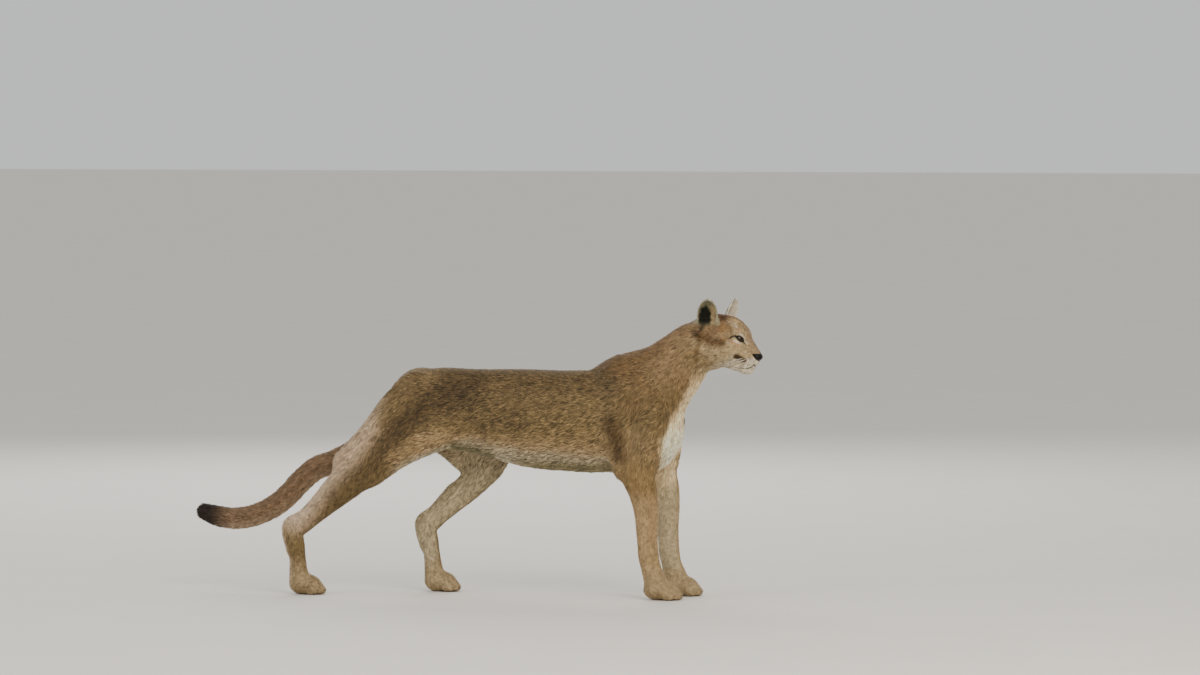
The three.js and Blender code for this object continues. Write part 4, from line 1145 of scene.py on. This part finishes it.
# where each point lies along and across the hair, in streak widths, for the streaks
lieWay = unit(skinLie)
acrossWay = unit(np.cross(lieWay, skinNormals))
streakPlace = skinMeshData.attributes.new("hairPlace", "FLOAT_VECTOR", "POINT")
streaks = np.stack([(skinPoints * lieWay).sum(1) / coat["streakLong"],
                    (skinPoints * acrossWay).sum(1) / coat["streakWide"],
                    skinPoints[:, 2] * 0.02], 1)
streakPlace.data.foreach_set("vector", streaks.astype(np.float32).ravel())
underfur = coatSkinMaterial()
skinNodes = [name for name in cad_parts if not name.startswith("eye_")]
skinPiece = addPiece(skinMeshData, "skin", underfur, skinNodes)
bpy.context.view_layer.objects.active = skinPiece
skinPiece.select_set(True)
skinMeshData.uv_layers.new(name="OFBake")
bpy.ops.object.mode_set(mode="EDIT")
bpy.ops.mesh.select_all(action="SELECT")
bpy.ops.uv.smart_project(angle_limit=math.radians(66), island_margin=0.003)
bpy.ops.object.mode_set(mode="OBJECT")
print("skin dressed:", len(skinMeshData.polygons), "faces")

# Tufts
tuft = {
    "spacingShare": 0.185,   # distance between roots over hair length
    "leastSpacing": 1.25,
    "widthShare": 0.2,
    "lift": 10,              # degrees off the skin
    "shaggyLift": 17,        # on the belly, throat, cheeks and tail
    "longHair": 15.5,        # from here on a tuft is bent
    "speckle": 0.45,         # how much tufts differ in brightness
}


def skinTriangles(mesh):
    mesh.calc_loop_triangles()
    count = len(mesh.loop_triangles)
    corners = np.empty(count * 3, np.int32)
    mesh.loop_triangles.foreach_get("loops", corners)
    vertices = np.empty(count * 3, np.int32)
    mesh.loop_triangles.foreach_get("vertices", vertices)
    return corners.reshape(-1, 3), vertices.reshape(-1, 3)


def bareShare(points, normals):
    # 1 where no hair grows: eyes, nose leather, lips and soles
    places = toHead(points)
    bare = ramp(noseShare(places), -0.03, 0.03)
    bare = np.maximum(bare, ramp(-mouthDistance(places), -1.3, -0.8))
    for side in (rightSide, leftSide):
        forward, along, height = eyePlace(points, side)
        gap = lidGap(along, height)
        bare = np.maximum(bare, ramp(-gap, -1.5, -1.0) * (forward > 2) * (np.abs(along) < 18))
    return np.maximum(bare, ramp(-points[:, 2], -3, -2) * (normals[:, 2] < -0.5))


def tuftRoots(mesh):
    corners, vertices = skinTriangles(mesh)
    a, b, c = (skinPoints[vertices[:, i]] for i in range(3))
    area = np.linalg.norm(np.cross(b - a, c - a), axis=1) / 2
    length = skinLength[vertices].mean(1)
    middle = (a + b + c) / 3
    normal = unit(skinNormals[vertices].mean(1))
    spacing = np.maximum(tuft["spacingShare"] * length, tuft["leastSpacing"])
    density = coat["densityShare"] / spacing**2 * (1 - bareShare(middle, normal))
    total = np.cumsum(area * density)
    picks = np.arange(0.5, total[-1], 1.0) + random.uniform(-0.45, 0.45, int(total[-1] + 0.5))[
        :len(np.arange(0.5, total[-1], 1.0))]
    chosen = np.clip(np.searchsorted(total, picks), 0, len(total) - 1)
    one, two = random.random(len(chosen)), random.random(len(chosen))
    over = one + two > 1
    one[over], two[over] = 1 - one[over], 1 - two[over]
    shares = np.stack([1 - one - two, one, two], 1)[:, :, None]
    uv = np.empty(len(mesh.loops) * 2, np.float32)
    mesh.uv_layers["OFBake"].uv.foreach_get("vector", uv)
    uv = uv.reshape(-1, 2)
    corner = vertices[chosen]
    roots = (skinPoints[corner] * shares).sum(1)
    normals = unit((skinNormals[corner] * shares).sum(1))
    return roots, normals, (uv[corners[chosen]] * shares).sum(1)


def tuftMesh(name, roots, normals, lies, lengths, widths, lifts, tones, uvs, bent):
    # a tuft is a thin closed spike with a ridge along its top; a bent one has a middle section
    count = len(roots)
    across = unit(np.cross(lies, normals))
    sunk = 0.06 * lengths[:, None]
    half = widths[:, None] / 2
    thick = 0.22 * widths[:, None]

    def section(at, share):
        return [at + across * half * share - normals * sunk * share,
                at - across * half * share - normals * sunk * share,
                at + normals * thick * share]

    def ahead(angle):
        return lies * np.cos(angle)[:, None] + normals * np.sin(angle)[:, None]

    size = lengths[:, None]
    if bent:
        middle = roots + ahead(lifts * 1.7) * size * 0.5
        drift = across * (random.uniform(-0.1, 0.1, count) * lengths)[:, None]
        tip = middle + ahead(lifts * 0.1) * size * 0.5 + drift
        points = np.stack(section(roots, 1) + section(middle, 0.8) + [tip], 1)
        faces = np.array([(0, 3, 5), (0, 5, 2), (1, 2, 5), (1, 5, 4), (0, 1, 4), (0, 4, 3),
                          (3, 6, 5), (4, 5, 6), (3, 4, 6), (0, 2, 1)])
        grade = np.array([0.8, 0.8, 0.84, 1, 1, 1, 1.12])
        patch = np.array([(-1, -1), (1, -1), (0, -0.6), (-0.8, 0), (0.8, 0), (0, 0.2), (0, 1)])
    else:
        points = np.stack(section(roots, 1) + [roots + ahead(lifts) * size], 1)
        faces = np.array([(0, 3, 2), (1, 2, 3), (0, 1, 3), (0, 2, 1)])
        grade = np.array([0.84, 0.84, 0.9, 1.1])
        patch = np.array([(-1, -1), (1, -1), (0, -0.6), (0, 1)])
    points[:, :, 2] = np.maximum(points[:, :, 2], soleHeight)
    corners = points.shape[1]
    every = (np.arange(count)[:, None, None] * corners + faces).reshape(-1, 3)
    mesh = bpy.data.meshes.new(name)
    mesh.vertices.add(count * corners)
    mesh.vertices.foreach_set("co", points.astype(np.float32).ravel())
    mesh.loops.add(len(every) * 3)
    mesh.loops.foreach_set("vertex_index", every.astype(np.int32).ravel())
    mesh.polygons.add(len(every))
    mesh.polygons.foreach_set("loop_start", np.arange(0, len(every) * 3, 3, dtype=np.int32))
    mesh.update()
    mesh.validate()
    colours = (tones[:, None, :] * grade[None, :, None]).reshape(-1, 3)
    storeColours(mesh, "coatTone", np.clip(colours, 0.001, 0.95))
    patchHalf = 0.0015
    spread = (uvs[:, None, :] + patch[None] * patchHalf).reshape(-1, 2)
    layer = mesh.uv_layers.new(name="OFBake")
    layer.uv.foreach_set("vector", spread[every.ravel()].astype(np.float32).ravel())
    # the tufts shade softly, close to the skin under them
    facets = vertexArray(mesh, "normal")
    soft = unit(0.75 * np.repeat(normals, corners, axis=0) + 0.25 * facets)
    mesh.shade_smooth()
    mesh.normals_split_custom_set_from_vertices(soft.tolist())
    return mesh


def growCoat():
    roots, normals, uvs = tuftRoots(skinMeshData)
    lies, lengths, shares = coatAt(roots)
    lies, lengths = lies.astype(float), lengths.astype(float)
    count = len(roots)
    x, y, z = roots.T
    inCup = np.zeros(count)
    for ear in ears.values():
        # long pale hairs cross the cup of the ear from its front edge
        up, ahead = earAxes(ear)[:2]
        height, wide, behind = earPlace(roots, ear)
        cup = ramp(normals @ (headAxes @ ahead), 0.0, 0.3) * ramp(height, 0.02, 0.1)
        cup *= (np.abs(wide) < 24) * (behind > 0.5) * (shares[:, 6] > 0.4) * (height < 1)
        lies += cup[:, None] * (headAxes @ (0.8 * up + 0.55 * ahead))
        inCup = np.maximum(inCup, cup)
    tangent = unit(lies - (lies * normals).sum(1)[:, None] * normals)
    sway = np.radians(random.normal(0, 11, count))
    tangent = unit(tangent * np.cos(sway)[:, None]
                   + np.cross(normals, tangent) * np.sin(sway)[:, None])
    neck, tail = shares[:, 1], shares[:, 4]
    shaggy = np.clip(ramp(-normals[:, 2], 0.2, 0.9) + tail + neck * ramp(x, 380, 430), 0, 1)
    lifts = tuft["lift"] + (tuft["shaggyLift"] - tuft["lift"]) * shaggy
    lifts = np.radians(np.maximum(lifts + random.normal(0, 3, count) + 12 * inCup, 4))
    lengths *= random.uniform(0.8, 1.15, count)
    lengths *= 1 + 0.9 * inCup
    widths = np.maximum(lengths * tuft["widthShare"], 0.9) * random.uniform(0.75, 1.2, count)
    widths = widths * (1 - 0.55 * inCup)
    colours = coatColour(roots, normals, shares)
    # clumps of hair lie darker or paler than their neighbours, most of all on the trunk
    speckle = tuft["speckle"] * (0.7 + 0.3 * (shares[:, 0] + shares[:, 3]) + 0.4 * shares[:, 5])
    shade = 1 + speckle * (random.normal(0, 0.75, count) + 1.1 * softNoise(roots, 5, 5))
    darkTips = (random.random(count) < 0.2 * ramp(z, 380, 520)) * shares[:, 0]
    shade *= 1 - 0.4 * darkTips
    colours = colours * np.clip(shade, 0.35, 1.8)[:, None]
    area = np.argmax(shares, axis=1)
    sizes = []
    for name, chosen in (
        ("coat_trunk_right_rear", (area == 0) & (y < 0) & (x < 0)),
        ("coat_trunk_right_front", (area == 0) & (y < 0) & (x >= 0)),
        ("coat_trunk_left_rear", (area == 0) & (y >= 0) & (x < 0)),
        ("coat_trunk_left_front", (area == 0) & (y >= 0) & (x >= 0)),
        ("coat_neck", area == 1),
        ("coat_foreleg_right", (area == 2) & (y < 0)),
        ("coat_foreleg_left", (area == 2) & (y >= 0)),
        ("coat_hind_right", (area == 3) & (y < 0)),
        ("coat_hind_left", (area == 3) & (y >= 0)),
        ("coat_tail", area == 4),
        ("coat_head", area == 5),
        ("coat_ears", area == 6),
    ):
        for bent, kind in ((False, ""), (True, "_long")):
            long = lengths >= tuft["longHair"]
            pick = np.flatnonzero(chosen & (long == bent))
            if not len(pick):
                continue
            mesh = tuftMesh(name + kind, roots[pick], normals[pick], tangent[pick], lengths[pick],
                            widths[pick], lifts[pick], colours[pick], uvs[pick], bent)
            addPiece(mesh, name + kind, guardHair)
            sizes.append(len(mesh.polygons))
    print("coat:", count, "tufts,", sum(sizes), "triangles, largest piece", max(sizes))


# guard hair: keratin, IOR 1.55, dull because each tuft scatters over many hairs. Single hairs are
# 0.1 mm and too fine to show, so the strands are drawn 0.8 mm wide.
guardHair = mottledMaterial("short guard hair", "coatTone", 0.0008, (0.82, 1.18), {
    "Roughness": 0.7, "IOR": 1.55, "Sheen Weight": 0.1, "Sheen Roughness": 0.45,
    "Specular IOR Level": 0.2,
}, 1.0)
growCoat()


# Small separate pieces
def ringMesh(rows, radii, sides=8, closed=False, flat=1.0, upWay=None):
    # a tube of rings along rows of points, with its own radius at each
    rows = np.asarray(rows, float)
    radii = np.asarray(radii, float)
    if closed:
        ways = np.roll(rows, -1, 0) - np.roll(rows, 1, 0)
    else:
        ways = np.gradient(rows, axis=0)
    ways = unit(ways)
    guideWay = np.tile(upWay if upWay is not None else (0, 0, 1), (len(rows), 1)).astype(float)
    sideways = unit(np.cross(ways, guideWay))
    upward = np.cross(sideways, ways)
    angles = np.arange(sides) * 2 * math.pi / sides
    rings = (rows[:, None] + radii[:, None, None] * (
        np.cos(angles)[None, :, None] * sideways[:, None]
        + flat * np.sin(angles)[None, :, None] * upward[:, None]))
    points = rings.reshape(-1, 3)
    count = len(rows)
    faces = []
    for i in range(count if closed else count - 1):
        for j in range(sides):
            a, b = i * sides + j, i * sides + (j + 1) % sides
            c, d = (a + sides) % (count * sides), (b + sides) % (count * sides)
            faces.append((a, b, d, c))
    if not closed:
        faces.append(tuple(range(sides))[::-1])
        faces.append(tuple(range((count - 1) * sides, count * sides)))
    return points, faces


def meshOf(name, parts):
    # one mesh from several lists of points and faces
    points, faces, start = [], [], 0
    for somePoints, someFaces in parts:
        points.append(somePoints)
        faces += [tuple(i + start for i in face) for face in someFaces]
        start += len(somePoints)
    mesh = bpy.data.meshes.new(name)
    mesh.from_pydata(np.vstack(points), [], faces)
    work = bmesh.new()
    work.from_mesh(mesh)
    bmesh.ops.recalc_face_normals(work, faces=work.faces)
    work.to_mesh(mesh)
    work.free()
    return mesh


iris = {"radius": 10.2, "pupil": 4.6, "inner": "#4a3617", "outer": "#241a0c", "rim": "#0c0906",
        "white": "#231a13", "bulge": 0.06, "turnAhead": 7}


def makeEye(side, name):
    middle, ahead, outward = eyeAxes(side)
    turn = math.radians(iris["turnAhead"])
    look = ahead * math.cos(turn) - outward * math.sin(turn)
    across = np.cross((0, 0, 1), look)
    rise = np.cross(look, across)
    rings, steps = 48, 64
    points, tonesHere = [], []
    inner, outer, rim, white = (linear(iris[k]) for k in ("inner", "outer", "rim", "white"))
    for i in range(rings + 1):
        angle = math.pi * (i / rings) ** 1.35
        radius = eye["radius"] * (1 + iris["bulge"] * math.exp(-((angle / 0.42) ** 2)))
        off = eye["radius"] * math.sin(angle)
        front = angle < math.pi / 2
        for j in range(steps):
            around = 2 * math.pi * j / steps
            way = (look * math.cos(angle)
                   + (across * math.cos(around) + rise * math.sin(around)) * math.sin(angle))
            points.append(middle + way * radius)
            if not front or off > iris["radius"] + 0.9:
                tone = white
            elif off > iris["radius"]:
                tone = rim
            elif off > iris["pupil"]:
                share = (off - iris["pupil"]) / (iris["radius"] - iris["pupil"])
                fibre = 1 + 0.22 * math.sin(around * 23 + 2.1 * math.sin(around * 7))
                tone = (inner * (1 - share) + outer * share) * fibre
            else:
                tone = rim * 0.15
            tonesHere.append(tone)
    faces = []
    for i in range(rings):
        for j in range(steps):
            k = (j + 1) % steps
            faces.append((i * steps + j, i * steps + k, (i + 1) * steps + k, (i + 1) * steps + j))
    mesh = bpy.data.meshes.new(name)
    mesh.from_pydata(fromHead(np.array(points)), [], faces)
    storeColours(mesh, "eyeTone", np.clip(tonesHere, 0, 1))
    work = bmesh.new()
    work.from_mesh(mesh)
    bmesh.ops.remove_doubles(work, verts=work.verts, dist=0.01)
    bmesh.ops.recalc_face_normals(work, faces=work.faces)
    work.to_mesh(mesh)
    work.free()
    return mesh


# wet cornea over the iris: IOR 1.376, nearly mirror smooth under its film of tears, with flecks
# of 0.67 mm in the iris
irisFleck = 1 / 1500
wetEye = mottledMaterial("cornea and iris", "eyeTone", irisFleck, (0.85, 1.15), {
    "Roughness": 0.3, "IOR": 1.376, "Coat Weight": 0.3, "Coat Roughness": 0.04,
    "Specular IOR Level": 0.25,
})
darkLeather = leatherMaterial("dark bare skin", "#14100d", 0.5, 0.0009)
noseLeather = leatherMaterial("moist nose leather", "#0e0b09", 0.42, 0.0013)
for name, side in (("right", rightSide), ("left", leftSide)):
    addPiece(makeEye(side, "eye_" + name + "_ball"), "eye_" + name + "_ball", wetEye,
             ["eye_" + name])


def lidRim(side):
    # the bare edge of the lids, on the eyeball round the opening
    middle, ahead, outward = eyeAxes(side)
    tilt = math.radians(eye["tilt"])
    rows, radii = [], []
    steps = 56
    for i in range(steps):
        angle = 2 * math.pi * i / steps
        along = eye["halfLength"] * math.cos(angle)
        share = max(0.0, 1 - math.cos(angle) ** 2) ** 0.75
        height = (eye["upper"] if math.sin(angle) > 0 else -eye["lower"]) * share
        across = along * math.cos(tilt) - height * math.sin(tilt)
        rise = along * math.sin(tilt) + height * math.cos(tilt)
        reach = eye["radius"] + 1.1
        forward = math.sqrt(max(reach**2 - across**2 - rise**2, 4))
        rows.append(middle + ahead * forward + outward * across + np.array([0, 0, rise]))
        radii.append(1.25 + 0.35 * max(0, -math.cos(angle)))
    points, faces = ringMesh(fromHead(np.array(rows)), radii, 8, True,
                             upWay=headAxes @ ahead)
    return points, faces


addPiece(meshOf("lid_rims", [lidRim(side) for side in (rightSide, leftSide)]), "lid_rims",
         darkLeather)


def skinTree():
    vertices = skinTriangles(skinMeshData)[1]
    return BVHTree.FromPolygons(skinPoints.tolist(), vertices.tolist())


surfaceTree = skinTree()


def onSkin(point, off=0.0):
    place, normal, _, _ = surfaceTree.find_nearest(Vector(point))
    return np.array(place) + np.array(normal) * off


def lips():
    # dark bare edge of the lower lip, seen as a line along the mouth
    half = [(u, v, w - 0.6) for u, v, w in mouthLine]
    rows = [(u, -v, w) for u, v, w in half[:0:-1]] + half
    keys = lengthsAlong(rows)
    fine = curveAt(keys, rows, np.linspace(0, keys[-1], 60))
    placed = np.array([onSkin(fromHead(row), 0.1) for row in fine])
    fade = np.minimum(1, np.minimum(np.arange(60), np.arange(60)[::-1]) / 8)
    return ringMesh(placed, 0.5 + 0.75 * fade, 8)


addPiece(meshOf("lips", [lips()]), "lips", darkLeather)


def nosePad():
    # the bare nose, a sheet of leather lifted off the skin and tucked in at its edge
    places = toHead(skinPoints)
    share = noseShare(places)
    keep = share > -0.02
    faces = [tuple(p.vertices) for p in skinMeshData.polygons if keep[list(p.vertices)].all()]
    used = sorted({i for face in faces for i in face})
    index = {old: new for new, old in enumerate(used)}
    lift = 0.55 * ramp(share[used], 0.0, 0.2) - 0.12
    points = skinPoints[used] + skinNormals[used] * lift[:, None]
    return points, [tuple(index[i] for i in face) for face in faces]


def openSheet(name, part):
    mesh = bpy.data.meshes.new(name)
    mesh.from_pydata(part[0], [], part[1])
    return mesh


addPiece(openSheet("nose_leather", nosePad()), "nose_leather", noseLeather)

whisker = {"rows": 4, "perRow": 6, "longest": 92, "thick": 0.42, "segments": 9}


def whiskers():
    draws = np.random.default_rng(21)
    parts = []
    for side in (rightSide, leftSide):
        for row in range(whisker["rows"]):
            for k in range(whisker["perRow"]):
                back = k / (whisker["perRow"] - 1)
                start = np.array([-24 - 26 * back, (19 + 12 * back) * side, 1 - 5.2 * row])
                root = onSkin(fromHead(start), -0.6)
                length = whisker["longest"] * (0.45 + 0.55 * back) * draws.uniform(0.85, 1.05)
                way = unit((-0.55 - 0.35 * back, side * (0.75 - 0.25 * back), -0.12 - 0.1 * row))
                way = headAxes @ way
                bend = headAxes @ np.array([-0.5, -0.28 * side, -0.5 + 0.1 * row])
                t = np.linspace(0, 1, whisker["segments"])[:, None]
                rows = root + way * length * t + bend * length * 0.5 * t**2
                radii = whisker["thick"] * (1 - 0.9 * t[:, 0])
                parts.append(ringMesh(rows, radii, 4))
        for k in range(4):
            # a few above the eye
            start = np.array([-60 + 3 * k, (30 + 2.5 * k) * side, 82])
            root = onSkin(fromHead(start), -0.5)
            way = headAxes @ unit((-0.35 - 0.1 * k, side * (0.35 + 0.12 * k), 0.8))
            bend = headAxes @ np.array([-0.7, 0.1 * side, -0.2])
            t = np.linspace(0, 1, 7)[:, None]
            rows = root + way * 36 * t + bend * 24 * t**2
            parts.append(ringMesh(rows, 0.34 * (1 - 0.9 * t[:, 0]), 4))
    return meshOf("whiskers", parts)


# keratin of whiskers and claws, IOR 1.55, mottled by its fine layers, 1.1 mm
hornGrain = 1 / 900
whiskerHorn = mottledMaterial("whisker keratin", "#e9e1cf", hornGrain, (0.85, 1.15),
                              {"Roughness": 0.4, "IOR": 1.55})
addPiece(whiskers(), "whiskers", whiskerHorn)

claw = {"length": 9, "thick": 2.3}


def claws():
    # sheathed claws: the tips alone show at the front of the toes
    parts = []
    paws = [(338, 75, 1.0, rightSide, 0), (338, 75, 1.0, leftSide, body["farForelegLead"])]
    paws += [(hindJoints[n]["toe"][0] + 8, hindJoints[n]["hockOut"], 0.94, s, 0)
             for n, s in (("right", rightSide), ("left", leftSide))]
    for x, y, size, side, lead in paws:
        for ahead, aside in ((34, -27), (47, -10), (46, 10), (31, 27)):
            tip = np.array([x + lead + (ahead + 8) * size, (y + aside * 1.02 * size) * side, 16.0])
            front = tip + (13.0 * size, 0, 0)
            root = onSkin(front, -4)
            t = np.linspace(0, 1, 6)[:, None]
            rows = root + np.array([claw["length"], 0, 1.5]) * t + np.array([-1.5, 0, -6.5]) * t**2
            parts.append(ringMesh(rows, claw["thick"] * (1 - 0.93 * t[:, 0] ** 1.3), 6,
                                  flat=1.3))
    return meshOf("claws", parts)


clawHorn = mottledMaterial("claw horn", "#5d5041", hornGrain, (0.85, 1.15),
                           {"Roughness": 0.35, "IOR": 1.55})
addPiece(claws(), "claws", clawHorn)
print("eyes, lids, nose, lips, whiskers and claws made")


# Floor, lights and camera
def plainFloor():
    # matt plaster floor, pale and plain
    material = mottledMaterial("matt plaster floor", "#e6e1d8", 1 / 3, (0.97, 1.03),
                               {"Roughness": 0.9, "IOR": 1.5})
    mesh = bpy.data.meshes.new("floor")
    far = 60    # metres
    mesh.from_pydata([(-far, -far, 0), (far, -far, 0), (far, far, 0), (-far, far, 0)], [],
                     [(0, 1, 2, 3)])
    mesh.materials.append(material)
    made = bpy.data.objects.new("floor", mesh)
    bpy.context.scene.collection.objects.link(made)


lamps = {
    # place, size, power, colour
    "key": {"at": (3.6, -4.6, 3.6), "size": 4.0, "power": 250, "colour": "#fff3e2"},
    "fill": {"at": (-4.5, -4.0, 2.4), "size": 4.5, "power": 110, "colour": "#f3f4ff"},
    "back": {"at": (-1.5, 5.0, 3.8), "size": 4.5, "power": 170, "colour": "#ffffff"},
}


def addLights():
    for name, lamp in lamps.items():
        light = bpy.data.lights.new(name, "AREA")
        light.shape = "DISK"
        light.size = lamp["size"]
        light.energy = lamp["power"]
        light.color = linear(lamp["colour"])
        made = bpy.data.objects.new(name, light)
        made.location = lamp["at"]
        aim = Vector((0, 0, 0.45)) - Vector(lamp["at"])
        made.rotation_euler = aim.to_track_quat("-Z", "Y").to_euler()
        bpy.context.scene.collection.objects.link(made)
    world = bpy.data.worlds.new("studio")
    world.use_nodes = True
    world.node_tree.nodes["Background"].inputs["Color"].default_value = rgba("#dfe0e0")
    world.node_tree.nodes["Background"].inputs["Strength"].default_value = 0.95
    bpy.context.scene.world = world


# The photograph is 1200 x 675 pixels and 2.7 mm a pixel at the animal, seen from its right
photo = {"width": 1200, "millimetresPerPixel": 2.7, "azimuth": 12, "elevation": 2.5,
         "aim": (158.5, 33.7, 698), "lens": 200, "sensor": 36}


def addCamera():
    camera = bpy.data.cameras.new("camera")
    camera.lens = photo["lens"]
    camera.sensor_width = photo["sensor"]
    camera.clip_end = 200
    made = bpy.data.objects.new("camera", camera)
    across = photo["width"] * photo["millimetresPerPixel"] * millimetre
    away = across * photo["lens"] / photo["sensor"]
    turn, rise = math.radians(photo["azimuth"]), math.radians(photo["elevation"])
    back = Vector((math.sin(turn) * math.cos(rise), -math.cos(turn) * math.cos(rise),
                   math.sin(rise)))
    made.location = Vector(toMetres(photo["aim"])) + back * away
    made.rotation_euler = (-back).to_track_quat("-Z", "Y").to_euler()
    bpy.context.scene.collection.objects.link(made)
    bpy.context.scene.camera = made


plainFloor()
addLights()
addCamera()
print("floor, lights and camera made")
